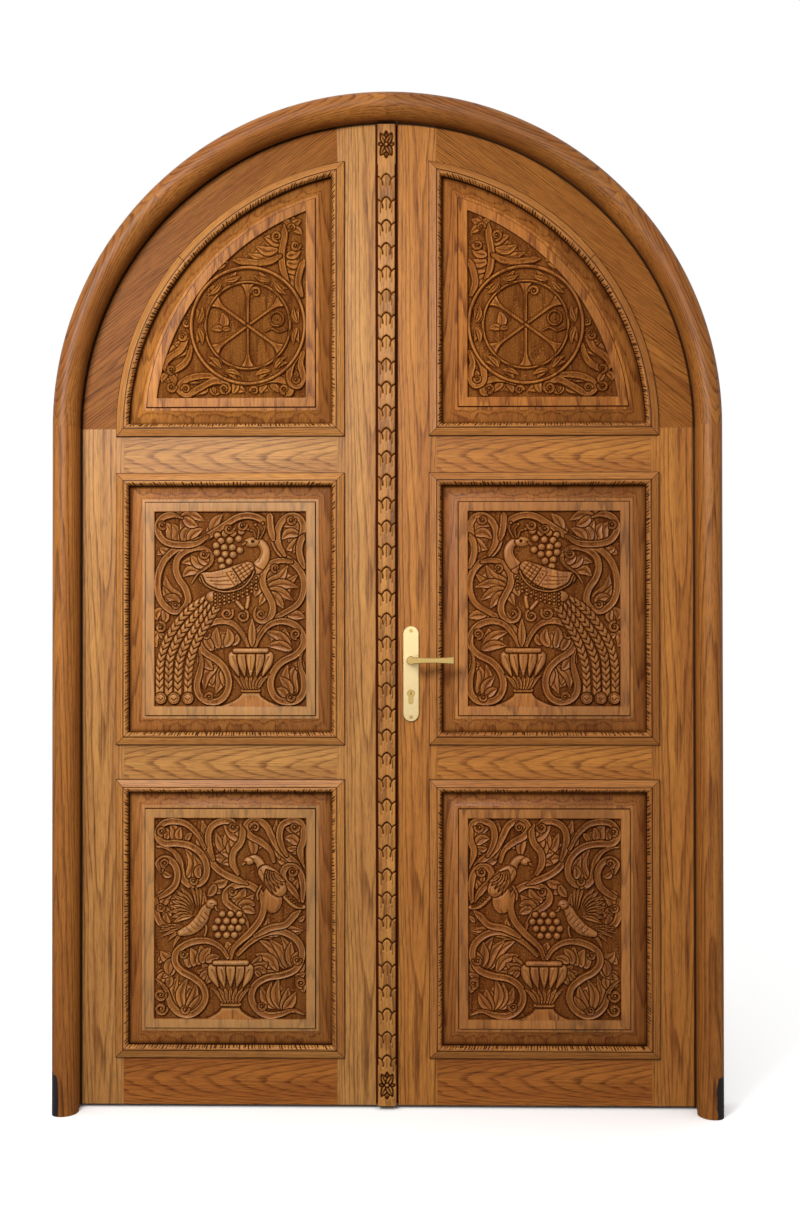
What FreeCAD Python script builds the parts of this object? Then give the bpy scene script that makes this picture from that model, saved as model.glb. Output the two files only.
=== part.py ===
import FreeCAD
import Part
import math
import os

# Arched double-leaf oak church door in its bullnosed frame.
# X runs across the doorway, Y from the outer side to the room side, Z up.
# The origin is on the floor, on the centre line of the arch, at half the leaf thickness.
# Both leaves swing into the room. The left leaf carries the centre strip and two flush bolts,
# the right leaf carries the lock and the levers. All lengths are in millimetres.

Vector = FreeCAD.Vector

# Whole door
SPRING_Z = 1565.0  # floor to the spring line of the arch
OUTER_R = 762.0  # outer radius of the arch, half the overall width
LEAF_T = 56.0  # thickness of a leaf
FLOOR_GAP = 8.0  # floor to the underside of a leaf

# Frame
FRAME_W = 57.0  # visible width of the frame
SIGHT_LAP = 15.0  # the frame laps this far over the leaf edge
EDGE_GAP = 3.0  # leaf edge to rebate
STOP_T = 10.0  # thickness of the stop that the leaf closes against
STOP_SETBACK = 4.0  # the stop stands back behind the nosing's inner edge
STOP_PLAY = 0.5  # leaf face to stop
NOSE_PROUD = 64.0  # crest of the nosing in front of the leaf face
NOSE_CREST_IN = 23.0  # crest in from the outer edge
NOSE_UNDERCUT_DEG = 30.0  # the inner round turns this far past the sight edge
ARCH_SEGMENTS = 4  # pieces in the half circle
SPLINE_LENGTH = 44.0
SPLINE_WIDTH = 22.0
SPLINE_T = 10.0
SPLINE_FROM_BACK = 8.0  # spline to the back of the frame
SPLINE_PLAY = 0.15

# Anchors through the jambs
ANCHOR_HOLE_R = 5.25
ANCHOR_FROM_END_HINGE = 140.0
ANCHOR_FROM_MID_HINGE = 240.0

# Leaves
HINGE_STILE_W = 112.0
OPEN_IN_X = 115.0  # centre line to the panel openings
BOTTOM_RAIL_H = 126.0
BOTTOM_OPEN_H = 604.0
LOCK_RAIL_H = 115.0
UPPER_RAIL_H = 120.0
MEETING_GAP = 3.5  # between the two leaves
TENON_T = 14.0
TENON_L = 50.0
TENON_INSET = 14.0  # tenon edge to rail edge
TENON_BACK = 3.0  # back face of the tenons and panel tongues behind mid thickness
TENON_PLAY = 0.15
TENON_END_GAP = 2.0
HEAD_TENON_H = 55.0

# Panels
GROOVE_DEPTH = 12.0
TONGUE = 10.0
TONGUE_PLAY = 0.2
PANEL_SHOULDER_GAP = 1.5  # panel shoulder to the opening's edge
BORDER_DROP = 8.0  # panel border behind the leaf face
COVE_START = 14.5  # from the opening's edge to the cove
COVE_WIDTH = 28.0
COVE_RISE = 8.0
COVE_FLATS = 3  # flats that make up the hollow of the cove
FILLET_WIDTH = 8.0  # flat between the cove and the field
FIELD_STEP = 5.0
FIELD_BAND = 21.0  # plain band round the carved ground
GROUND_DEPTH = 9.0  # carved ground below the field
STEM_RISE = 6.0  # scrolls above the carved ground
STEM_HALF = 6.5  # half width of a scroll
RIBBON_STEPS = 2  # places worked out between two drawn points of a scroll
FLAT_BULGE = 0.05  # an arc that bulges less is drawn as a line
TAIL_HALF = 8.0
EYE_R = 13.0  # round eyes at the end of the peacock's tail
URN_RISE = 8.0
FLUTE_R = 5.0
FLUTE_OUT = 2.5  # axis of a flute in front of the bowl
GRAPE_R = 7.3
GRAPE_TOP_R = 4.6
GRAPE_RISE = 7.2
GRAPE_PITCH = 5.9  # in drawing units
ROUNDEL_R = 132.0
ROUNDEL_IN_R = 99.0
ARM_WAIST = 4.0
ARM_FLARE = 10.0
MIDDLE_SHEET = (5.5, 6.0, 116.5, 152.0)  # corners of each drawing, in drawing units
BOTTOM_SHEET = (6.0, 8.5, 111.5, 150.0)
ARCH_SHEET = (5.5, 7.5, 124.2, 152.3)
BACK_BEVEL_START = 16.0
BACK_BEVEL_WIDTH = 34.0
BACK_BEVEL_RISE = 8.0

# Bolection mouldings on the outer side, ovolo mouldings on the room side
MOULD_LAP = 18.0  # moulding over the stile or rail
MOULD_OVER = 12.0  # moulding over the panel
MOULD_EDGE_H = 6.0
MOULD_EASE = 2.0
MOULD_PROUD = 12.0
MOULD_QUIRK = 2.0
MOULD_EDGE_PLAY = 0.3
ARC_JOINT_ANGLE = 45.0  # butt joint of the curved moulding, from the spring line
OVOLO_W = 12.0
OVOLO_H = 14.0

# Centre strip
STRIP_W = 42.0
STRIP_T = 14.0
STRIP_EASE = 3.0
STRIP_INSET = 1.0  # strip edge to leaf edge
STRIP_END_GAP = 5.0
STRIP_FOOT_GAP = 2.0
PLAQUE_H = 92.0  # square end block of the strip
STRIP_WAIST = 1.5  # the leaf rows are this much narrower on each side

# Hinges
HINGE_H = 120.0
HINGE_W = 45.0
HINGE_T = 2.5
HINGE_PLAY = 0.6  # between the two plates when shut
HINGE_KNUCKLES = 3
KNUCKLE_R = 6.5
KNUCKLE_GAP = 0.4
KNUCKLE_OFF_FACE = 0.5
HINGE_PIN_R = 4.0
PIN_PLAY = 0.05
PIN_CAP_R = 5.5
PIN_CAP_H = 4.0
HINGE_FROM_FLOOR = 190.0
HINGE_FROM_SPRING = 155.0
RECESS_PLAY = 0.1

# Lock
SPINDLE_Z = 1031.0
CYLINDER_DROP = 77.0  # spindle to cylinder axis
BACKSET = 30.0  # leaf edge to spindle
FOREND_T = 3.0
FOREND_W = 22.0
FOREND_OVER = 24.0  # forend past the case at each end
CASE_T = 16.0
CASE_DEPTH = 53.0
CASE_MARGIN = 42.0  # case above the spindle and below the cylinder axis
CASE_WALL = 1.8
CASE_PLAY = 0.3
WINDOW_PLAY = 0.3
LATCH_RISE = 22.0  # spindle to latch centre
LATCH_H = 18.0
LATCH_T = 11.0
LATCH_BODY = 16.0
LATCH_STAND = 2.0  # latch nose proud of the leaf edge
LATCH_BAR_H = 6.0
LATCH_BAR_T = 6.0
HOOK_T = 4.0
HOOK_DROP = 18.0
NOSE_REACH = 14.0  # follower nose from the spindle axis
NOSE_TILT = 55.0  # nose from straight up, towards the hinge side
NOSE_TIP_R = 2.5
NOSE_T = 8.0
NOSE_PLAY = 1.3
BOLT_H = 28.0
BOLT_T = 11.0
BOLT_L = 44.0
BOLT_RISE = 18.0  # cylinder axis to the underside of the dead bolt
BOLT_SETBACK = 0.5
BOLT_THROW = 20.0  # travel of the dead bolt
HUB_R = 9.0
RUN_PLAY = 0.05
SPINDLE_W = 8.0
SPINDLE_PLAY = 0.03
SPINDLE_OVER = 25.0  # spindle past each leaf face
SPINDLE_HOLE_R = 11.0
CYL_R = 8.5
CYL_WEB_W = 10.0
CYL_H = 33.0
CYL_OVER = 1.5  # cylinder past the handle plate
CYL_PLAY = 0.4
PLUG_R = 6.5
CAM_R = 15.0
CAM_W = 8.0
CAM_T = 9.4
CAM_PLAY = 0.6
KEYWAY_W = 2.4
KEYWAY_H = 8.0
KEYWAY_DEPTH = 22.0

# Handle plates and levers
PLATE_W = 37.0
PLATE_H = 220.0
PLATE_T = 5.0
PLATE_EASE = 1.2
PLATE_TOP_OVER = 78.0  # plate above the spindle
PLATE_SCREW_PITCH = 199.0
PLATE_SCREW_R = 2.4
PLATE_SCREW_HEAD_R = 4.2
PLATE_SCREW_HEAD_H = 2.2
SCREW_PLAY = 0.2
COLLAR_R = 13.0
COLLAR_H = 5.0
NECK_R = 9.0
NECK_THIN_R = 7.5
NECK_SETBACK = 0.5
LEVER_REACH = 66.0  # lever front from the leaf face
LEVER_T = 13.0
LEVER_L = 98.0  # spindle axis to the lever's tip
LEVER_HUB_R = 9.5
LEVER_ROOT_H = 16.5
LEVER_WAIST_H = 13.0
LEVER_WAIST_AT = 70.0
LEVER_TIP_H = 17.0
LEVER_EASE = 1.5

# Bevelled meeting edge, strike plate and flush bolts on the left leaf
EDGE_BEVEL = 2.5  # the meeting edge falls back this far at its outer face, to clear as the leaf swings
STRIKE_T = 3.0
STRIKE_W = 22.0
STRIKE_OVER = 18.0  # strike past its two windows
STRIKE_WINDOW_PLAY = 1.5
STRIKE_POCKET_GAP = 5.0  # thrown dead bolt to the bottom of its pocket
FLUSH_PLATE_T = 3.0
FLUSH_PLATE_W = 20.0
FLUSH_PLATE_H = 150.0
FLUSH_PLATE_FROM_END = 60.0
FLUSH_IN = 12.0  # leaf edge to rod axis
ROD_R = 5.0
ROD_L = 165.0
ROD_PLAY = 0.3
ROD_SETBACK = 0.6
ROD_THROW = 16.0
THUMB_H = 14.0
THUMB_W = 9.0
THUMB_SETBACK = 1.0
THUMB_FROM_END = 120.0  # thumb piece from the rod's bolt end
KEEP_PLAY = 1.0  # rod to the hole in the crown of the arch
KEEP_END_GAP = 3.0

# Places that follow from the sizes
FRONT_Y = -LEAF_T / 2
BACK_Y = LEAF_T / 2
SIGHT_R = OUTER_R - FRAME_W
LEAF_R = SIGHT_R + SIGHT_LAP
REBATE_R = LEAF_R + EDGE_GAP
STOP_BACK_Y = FRONT_Y - STOP_PLAY
NOSE_BACK_Y = STOP_BACK_Y - STOP_T
OPEN_OUT_X = LEAF_R - HINGE_STILE_W
BOTTOM_OPEN_Z = FLOOR_GAP + BOTTOM_RAIL_H
LOCK_RAIL_Z = BOTTOM_OPEN_Z + BOTTOM_OPEN_H
MIDDLE_OPEN_Z = LOCK_RAIL_Z + LOCK_RAIL_H
UPPER_RAIL_Z = SPRING_Z - UPPER_RAIL_H
LEFT_EDGE_X = STRIP_W / 2 + STRIP_INSET
RIGHT_EDGE_X = LEFT_EDGE_X + MEETING_GAP
EDGE_PLATE_X = LEFT_EDGE_X - EDGE_BEVEL * (LEAF_T + STRIKE_W) / 2 / LEAF_T  # plates in the bevelled edge
TONGUE_BACK_Y = TENON_BACK
TONGUE_FRONT_Y = TENON_BACK - TENON_T
BORDER_Y = FRONT_Y + BORDER_DROP
FIELD_Y = BORDER_Y - COVE_RISE - FIELD_STEP
FIELD_START = COVE_START + COVE_WIDTH + FILLET_WIDTH
GROUND_START = FIELD_START + FIELD_BAND
GROUND_Y = FIELD_Y + GROUND_DEPTH
MOULD_W = MOULD_LAP + MOULD_OVER
AXIS_X = LEAF_R + EDGE_GAP / 2
AXIS_Y = BACK_Y + KNUCKLE_OFF_FACE + KNUCKLE_R
TOP_HINGE_Z = SPRING_Z - HINGE_FROM_SPRING
MID_HINGE_Z = (HINGE_FROM_FLOOR + TOP_HINGE_Z) / 2
HINGE_Z = (HINGE_FROM_FLOOR, MID_HINGE_Z, TOP_HINGE_Z)
CYL_Z = SPINDLE_Z - CYLINDER_DROP
SPINDLE_X = RIGHT_EDGE_X + BACKSET
CASE_X = RIGHT_EDGE_X + FOREND_T
CASE_BOTTOM = CYL_Z - CASE_MARGIN
CASE_TOP = SPINDLE_Z + CASE_MARGIN
LATCH_Z = SPINDLE_Z + LATCH_RISE
BOLT_Z = CYL_Z + BOLT_RISE
PLATE_TOP = SPINDLE_Z + PLATE_TOP_OVER
BOLT_REACH = BOLT_THROW - BOLT_SETBACK - MEETING_GAP  # thrown dead bolt inside the left leaf
ROD_X = LEFT_EDGE_X - FLUSH_IN
ARCH_CENTRE = Vector(0, 0, SPRING_Z)
UPWARD_TURN = Vector(0, -1, 0)  # turns +X towards +Z
LONG = 4000.0  # longer than any piece, for cutting tools
OVER = 1.0  # cutting tools run this far past a face
SAME = 1e-6  # lengths closer than this count as equal
PAST_EDGE_X = LEFT_EDGE_X + OVER


# Small shape helpers


def box(x0, x1, y0, y1, z0, z1):
    return Part.makeBox(x1 - x0, y1 - y0, z1 - z0, Vector(x0, y0, z0))


def rod_y(radius, x, z, y0, y1):
    return Part.makeCylinder(radius, y1 - y0, Vector(x, y0, z), Vector(0, 1, 0))


def rod_z(radius, x, y, z0, z1):
    return Part.makeCylinder(radius, z1 - z0, Vector(x, y, z0), Vector(0, 0, 1))


def disc(radius, y0, y1):
    return rod_y(radius, 0, SPRING_Z, y0, y1)


def mirror_x(shape):
    return shape.mirror(Vector(0, 0, 0), Vector(1, 0, 0))


def mirror_y(shape):
    return shape.mirror(Vector(0, 0, 0), Vector(0, 1, 0))


def fused(shapes):
    return shapes[0].multiFuse(shapes[1:]).removeSplitter()


def less(shape, tools):
    return shape.cut(tools).removeSplitter()


def plan_prism(points, y0, y1):
    """Polygon in the XZ plane, extruded along Y."""
    corners = [Vector(x, y0, z) for x, z in points]
    face = Part.Face(Part.makePolygon(corners + corners[:1]))
    return face.extrude(Vector(0, y1 - y0, 0))


def rounded(start, corner, end):
    """Step of an outline that rounds off a corner: a point to pass through, then the end."""
    centre = [a + b - c for a, b, c in zip(start, end, corner)]
    through = [m + (c - m) * math.sqrt(0.5) for m, c in zip(centre, corner)]
    return (*through, *end)


def outline_face(start, steps, place):
    """Closed face from a start point and steps: (u, v) draws a line, (tu, tv, u, v) an arc through t."""
    edges = []
    here = place(*start)
    closing = [] if steps[-1][-2:] == start else [start]
    for step in [*steps, *closing]:
        there = place(*step[-2:])
        if len(step) == 4:
            edges.append(Part.Arc(here, place(*step[:2]), there).toShape())
        else:
            edges.append(Part.makeLine(here, there))
        here = there
    return Part.Face(Part.Wire(edges))


def along_z(side_x, inward, z0):
    """Places a profile (inward distance, y) on an upright edge."""
    return lambda u, y: Vector(side_x + inward * u, y, z0)


def along_x(side_z, inward, x0):
    """Places a profile (inward distance, y) on a level edge."""
    return lambda u, y: Vector(x0, y, side_z + inward * u)


def turned(face, from_deg, to_deg):
    """Revolves a face drawn on the +X side of the spring line about the arch's axis."""
    face.rotate(ARCH_CENTRE, UPWARD_TURN, from_deg)
    return face.revolve(ARCH_CENTRE, UPWARD_TURN, to_deg - from_deg)


# Frame: jambs, arch ring, nosing and splines


def jamb_section(place):
    steps = [
        (STOP_SETBACK, STOP_BACK_Y),
        (REBATE_R - SIGHT_R, STOP_BACK_Y),
        (REBATE_R - SIGHT_R, BACK_Y),
        (FRAME_W, BACK_Y),
        (FRAME_W, NOSE_BACK_Y),
    ]
    return outline_face((STOP_SETBACK, NOSE_BACK_Y), steps, place)


def nosing_section(place):
    """Roll moulding: a small round outside the crest and a large one that ends in an undercut."""
    crest_y = FRONT_Y - NOSE_PROUD
    crest_u = FRAME_W - NOSE_CREST_IN
    side = (FRAME_W, crest_y + NOSE_CREST_IN)
    turn = math.radians(90.0 + NOSE_UNDERCUT_DEG)

    def roll(angle):
        return crest_u * (1 - math.sin(angle)), crest_y + crest_u * (1 - math.cos(angle))

    lip = roll(turn)
    steps = [
        side,
        rounded(side, (FRAME_W, crest_y), (crest_u, crest_y)),
        (*roll(turn / 2), *lip),
        (lip[0], NOSE_BACK_Y),
    ]
    return outline_face((FRAME_W, NOSE_BACK_Y), steps, place)


def spline_at(angle_deg, play):
    """Loose tongue across a joint of the arch, at an angle from the right-hand spring point."""
    middle_r = (REBATE_R + OUTER_R) / 2
    half_w = SPLINE_WIDTH / 2 + play
    half_l = SPLINE_LENGTH / 2 + play
    y1 = BACK_Y - SPLINE_FROM_BACK
    y0 = y1 - SPLINE_T
    tongue = box(
        middle_r - half_w,
        middle_r + half_w,
        y0 - play,
        y1 + play,
        SPRING_Z - half_l,
        SPRING_Z + half_l,
    )
    tongue.rotate(ARCH_CENTRE, UPWARD_TURN, angle_deg)
    return tongue


def anchor_heights():
    return (
        HINGE_FROM_FLOOR + ANCHOR_FROM_END_HINGE,
        MID_HINGE_Z - ANCHOR_FROM_MID_HINGE,
        MID_HINGE_Z + ANCHOR_FROM_MID_HINGE,
        TOP_HINGE_Z - ANCHOR_FROM_END_HINGE,
    )


def right_jamb():
    post = jamb_section(along_z(SIGHT_R, 1, 0)).extrude(Vector(0, 0, SPRING_Z))
    tools = [hinge_recess(z) for z in HINGE_Z]
    tools.append(spline_at(0, SPLINE_PLAY))
    for z in anchor_heights():
        hole_start = Vector(SIGHT_R, 0, z)
        tools.append(Part.makeCylinder(ANCHOR_HOLE_R, FRAME_W * 2, hole_start, Vector(1, 0, 0)))
    return less(post, tools)


def right_nosing():
    return nosing_section(along_z(SIGHT_R, 1, 0)).extrude(Vector(0, 0, SPRING_Z))


def arch_angles():
    step = 180.0 / ARCH_SEGMENTS
    return [(i * step, (i + 1) * step) for i in range(ARCH_SEGMENTS)]


def top_bolt_keep():
    """Hole in the crown of the arch for the top flush bolt."""
    top = SPRING_Z + LEAF_R + ROD_THROW + KEEP_END_GAP
    return rod_z(ROD_R + KEEP_PLAY, ROD_X, 0, SPRING_Z + SIGHT_R, top)


def arch_ring(from_deg, to_deg):
    ring = turned(jamb_section(along_z(SIGHT_R, 1, SPRING_Z)), from_deg, to_deg)
    return less(ring, [spline_at(a, SPLINE_PLAY) for a in (from_deg, to_deg)] + [top_bolt_keep()])


def arch_nosing(from_deg, to_deg):
    return turned(nosing_section(along_z(SIGHT_R, 1, SPRING_Z)), from_deg, to_deg)


def frame_nodes():
    nodes = {"right_jamb": right_jamb(), "right_jamb_nosing": right_nosing()}
    nodes["left_jamb"] = mirror_x(nodes["right_jamb"])
    nodes["left_jamb_nosing"] = mirror_x(nodes["right_jamb_nosing"])
    names = ("lower_right", "upper_right", "upper_left", "lower_left")
    for name, (from_deg, to_deg) in zip(names, arch_angles()):
        nodes["arch_ring_" + name] = arch_ring(from_deg, to_deg)
        nodes["arch_nosing_" + name] = arch_nosing(from_deg, to_deg)
    joints = [0.0] + [to_deg for _, to_deg in arch_angles()]
    nodes["arch_splines"] = Part.makeCompound([spline_at(a, 0) for a in joints])
    return nodes


# Hinges, drawn on the right-hand side


def knuckle_spans(z_mid):
    pitch = HINGE_H / HINGE_KNUCKLES
    low = z_mid - HINGE_H / 2
    return [(low + i * pitch, low + (i + 1) * pitch) for i in range(HINGE_KNUCKLES)]


def hinge_half(z_mid, outward, own):
    """One plate with its knuckles: outward is 1 on the jamb and -1 on the leaf."""
    near = AXIS_X + outward * HINGE_PLAY / 2
    far = near + outward * HINGE_T
    z0 = z_mid - HINGE_H / 2
    plate = box(min(near, far), max(near, far), AXIS_Y - HINGE_W, AXIS_Y, z0, z0 + HINGE_H)
    spans = knuckle_spans(z_mid)
    others = [s for i, s in enumerate(spans) if i % 2 != own]
    room = [
        rod_z(KNUCKLE_R + KNUCKLE_GAP, AXIS_X, AXIS_Y, a - KNUCKLE_GAP / 2, b + KNUCKLE_GAP / 2)
        for a, b in others
    ]
    barrels = [
        rod_z(KNUCKLE_R, AXIS_X, AXIS_Y, a + KNUCKLE_GAP / 2, b - KNUCKLE_GAP / 2)
        for i, (a, b) in enumerate(spans)
        if i % 2 == own
    ]
    half = fused([plate.cut(room)] + barrels)
    bore = rod_z(HINGE_PIN_R + PIN_PLAY, AXIS_X, AXIS_Y, z0 - OVER, z0 + HINGE_H + OVER)
    return less(half, [bore])


def hinge_pin(z_mid):
    z0 = z_mid - HINGE_H / 2
    z1 = z_mid + HINGE_H / 2
    shaft = rod_z(HINGE_PIN_R, AXIS_X, AXIS_Y, z0, z1)
    caps = [
        rod_z(PIN_CAP_R, AXIS_X, AXIS_Y, z1, z1 + PIN_CAP_H),
        rod_z(PIN_CAP_R, AXIS_X, AXIS_Y, z0 - PIN_CAP_H, z0),
    ]
    return fused([shaft] + caps)


def hinge_recess(z_mid):
    """Cutting tool for both plates: shallow recesses in the jamb and in the leaf edge."""
    half_x = HINGE_PLAY / 2 + HINGE_T + RECESS_PLAY
    half_z = HINGE_H / 2 + RECESS_PLAY
    return box(
        AXIS_X - half_x,
        AXIS_X + half_x,
        AXIS_Y - HINGE_W - RECESS_PLAY,
        AXIS_Y,
        z_mid - half_z,
        z_mid + half_z,
    )


def on_both_sides(shapes):
    return Part.makeCompound(shapes + [mirror_x(s) for s in shapes])


def hinge_nodes():
    jamb_plates = [hinge_half(z, 1, 0) for z in HINGE_Z]
    leaf_plates = [hinge_half(z, -1, 1) for z in HINGE_Z]
    pins = [hinge_pin(z) for z in HINGE_Z]
    return {
        "hinge_jamb_plates": on_both_sides(jamb_plates),
        "hinge_pins": on_both_sides(pins),
        "right_hinge_leaf_plates": Part.makeCompound(leaf_plates),
        "left_hinge_leaf_plates": mirror_x(Part.makeCompound(leaf_plates)),
    }


# Leaf joinery, drawn on the right-hand side with the meeting edge at meet_x


def panel_openings():
    """Rectangular panel openings as (x0, x1, z0, z1)."""
    return {
        "bottom": (OPEN_IN_X, OPEN_OUT_X, BOTTOM_OPEN_Z, LOCK_RAIL_Z),
        "middle": (OPEN_IN_X, OPEN_OUT_X, MIDDLE_OPEN_Z, UPPER_RAIL_Z),
    }


def arch_region(inset, y0, y1):
    """Quarter-arch opening of the top panel, shrunk by inset on every side."""
    corner_box = box(OPEN_IN_X + inset, LONG, y0, y1, SPRING_Z + inset, LONG)
    return disc(OPEN_OUT_X - inset, y0, y1).common(corner_box)


def panel_grooves():
    y0 = TONGUE_FRONT_Y - TONGUE_PLAY
    y1 = TONGUE_BACK_Y + TONGUE_PLAY
    grooves = []
    for x0, x1, z0, z1 in panel_openings().values():
        deep = GROOVE_DEPTH
        grooves.append(box(x0 - deep, x1 + deep, y0, y1, z0 - deep, z1 + deep))
    grooves.append(arch_region(-GROOVE_DEPTH, y0, y1))
    return grooves


def tenon(x0, x1, z0, z1, play, end_gap):
    return box(
        x0 - end_gap,
        x1 + end_gap,
        TONGUE_FRONT_Y - play,
        TONGUE_BACK_Y + play,
        z0 - play,
        z1 + play,
    )


def rail_tenon(z0, z1, play=0.0, end_gap=0.0):
    """One long tenon that runs through the rail into both stiles."""
    low = z0 + TENON_INSET
    high = z1 - TENON_INSET
    return tenon(OPEN_IN_X - TENON_L, OPEN_OUT_X + TENON_L, low, high, play, end_gap)


def head_foot_tenon(play=0.0, end_gap=0.0):
    """Tenon of the arched head that stands in the top of the hinge stile."""
    x0 = OPEN_OUT_X + TENON_L + 2 * TENON_END_GAP
    x1 = LEAF_R - TENON_INSET
    return box(
        x0 - play,
        x1 + play,
        TONGUE_FRONT_Y - play,
        TONGUE_BACK_Y + play,
        SPRING_Z - HEAD_TENON_H - end_gap,
        SPRING_Z + TENON_INSET,
    )


def head_side_tenon(play=0.0, end_gap=0.0):
    """Tenon of the arched head that enters the meeting stile."""
    inner_z = SPRING_Z + math.sqrt(OPEN_OUT_X**2 - OPEN_IN_X**2)
    outer_z = SPRING_Z + math.sqrt(LEAF_R**2 - OPEN_IN_X**2)
    low = inner_z + GROOVE_DEPTH + TENON_INSET
    high = outer_z - TENON_INSET
    return tenon(OPEN_IN_X - TENON_L, OPEN_IN_X + TENON_INSET, low, high, play, end_gap)


def rail_heights():
    return {
        "bottom_rail": (FLOOR_GAP, BOTTOM_OPEN_Z),
        "lock_rail": (LOCK_RAIL_Z, MIDDLE_OPEN_Z),
        "upper_rail": (UPPER_RAIL_Z, SPRING_Z),
    }


def stile_mortises():
    mortises = [rail_tenon(z0, z1, TENON_PLAY, TENON_END_GAP) for z0, z1 in rail_heights().values()]
    mortises.append(head_foot_tenon(TENON_PLAY, TENON_END_GAP))
    mortises.append(head_side_tenon(TENON_PLAY, TENON_END_GAP))
    return mortises


def hinge_stile():
    post = box(OPEN_OUT_X, LEAF_R, FRONT_Y, BACK_Y, FLOOR_GAP, SPRING_Z)
    recesses = [hinge_recess(z) for z in HINGE_Z]
    return less(post, panel_grooves() + stile_mortises() + recesses)


def meeting_stile(meet_x):
    foot = box(meet_x, OPEN_IN_X, FRONT_Y, BACK_Y, FLOOR_GAP, SPRING_Z)
    top = box(meet_x, OPEN_IN_X, FRONT_Y, BACK_Y, SPRING_Z, LONG).common(disc(LEAF_R, FRONT_Y, BACK_Y))
    return less(fused([foot, top]), panel_grooves() + stile_mortises())


def rail(z0, z1):
    bar = box(OPEN_IN_X, OPEN_OUT_X, FRONT_Y, BACK_Y, z0, z1)
    return less(fused([bar, rail_tenon(z0, z1)]), panel_grooves())


def arched_head():
    ring = disc(LEAF_R, FRONT_Y, BACK_Y).cut(disc(OPEN_OUT_X, FRONT_Y, BACK_Y))
    quarter = ring.common(box(OPEN_IN_X, LONG, FRONT_Y, BACK_Y, SPRING_Z, LONG))
    return less(fused([quarter, head_foot_tenon(), head_side_tenon()]), panel_grooves())


# Raised panels


def panel_edge_section(far, place):
    """Section across one panel edge, from the tongue to a far point inside the panel."""
    fillet_y = BORDER_Y - COVE_RISE
    back_y = TONGUE_BACK_Y + BACK_BEVEL_RISE
    turns = [i * math.pi / 2 / COVE_FLATS for i in range(COVE_FLATS + 1)]
    cove = [
        (COVE_START + COVE_WIDTH * math.sin(t), BORDER_Y - COVE_RISE * (1 - math.cos(t))) for t in turns
    ]
    steps = [
        (-TONGUE, TONGUE_FRONT_Y),
        (PANEL_SHOULDER_GAP, TONGUE_FRONT_Y),
        (PANEL_SHOULDER_GAP, BORDER_Y),
        *cove,
        (FIELD_START, fillet_y),
        (FIELD_START, FIELD_Y),
        (far, FIELD_Y),
        (far, back_y),
        (BACK_BEVEL_START + BACK_BEVEL_WIDTH, back_y),
        (BACK_BEVEL_START, TONGUE_BACK_Y),
    ]
    return outline_face((-TONGUE, TONGUE_BACK_Y), steps, place)


def upright_edge(side_x, inward, far, z0, z1):
    face = panel_edge_section(far, along_z(side_x, inward, z0))
    return face.extrude(Vector(0, 0, z1 - z0))


def level_edge(side_z, inward, far, x0, x1):
    face = panel_edge_section(far, along_x(side_z, inward, x0))
    return face.extrude(Vector(x1 - x0, 0, 0))


def rectangular_panel(x0, x1, z0, z1):
    """The four edge sections meet at mitred corners, and the carved ground is sunk in the field."""
    far_x = x1 - x0 + TONGUE
    far_z = z1 - z0 + TONGUE
    low, high = z0 - TONGUE, z1 + TONGUE
    near, off = x0 - TONGUE, x1 + TONGUE
    panel = upright_edge(x0, 1, far_x, low, high)
    panel = panel.common(upright_edge(x1, -1, far_x, low, high))
    panel = panel.common(level_edge(z0, 1, far_z, near, off))
    panel = panel.common(level_edge(z1, -1, far_z, near, off))
    rim = GROUND_START
    ground = box(x0 + rim, x1 - rim, FIELD_Y - OVER, GROUND_Y, z0 + rim, z1 - rim)
    return less(panel, [ground])


def arched_panel():
    """Straight edges on the meeting stile and the upper rail, and a turned edge along the arch."""
    reach = OPEN_OUT_X + TONGUE
    low_x, low_z = OPEN_IN_X - TONGUE, SPRING_Z - TONGUE
    margin_deg = math.degrees(math.asin(2 * TONGUE / OPEN_OUT_X))
    upright = upright_edge(OPEN_IN_X, 1, reach, low_z, SPRING_Z + reach)
    corner = upright.common(level_edge(SPRING_Z, 1, reach, low_x, reach))
    section = panel_edge_section(OPEN_OUT_X - TONGUE, along_z(OPEN_OUT_X, -1, SPRING_Z))
    panel = corner.common(turned(section, -margin_deg, 90.0 + margin_deg))
    return less(panel, [arch_region(GROUND_START, FIELD_Y - OVER, GROUND_Y)])


# Carving: the main forms of the relief, drawn by hand for the left leaf in units of about 3 mm, with x
# from the hinge side and y downward. Leaves, feathers and tool marks are left to the visual model.


def square_drawing(sheet, x0, x1, z0, z1):
    """Places a drawing on the sunk ground of a rectangular panel."""
    rims = 2 * GROUND_START
    return drawing(sheet, x1 - GROUND_START, z1 - GROUND_START, x1 - x0 - rims, z1 - z0 - rims)


def arched_drawing(sheet):
    """Places a drawing in the box round the sunk ground of the arched panel."""
    reach, near = OPEN_OUT_X - GROUND_START, OPEN_IN_X + GROUND_START
    far_x = math.sqrt(reach**2 - GROUND_START**2)
    top = math.sqrt(reach**2 - near**2)
    return drawing(sheet, far_x, SPRING_Z + top, far_x - near, top - GROUND_START)


def drawing(sheet, far_x, top_z, wide, high):
    left, top, right, bottom = sheet

    def place(x, y):
        across, down = (x - left) / (right - left), (y - top) / (bottom - top)
        return Vector(far_x - across * wide, GROUND_Y, top_z - down * high)

    return place


def raised(face, rise):
    """A flat form on the ground, let in by OVER."""
    face.translate(Vector(0, OVER, 0))
    return face.extrude(Vector(0, -rise - OVER, 0))


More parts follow.
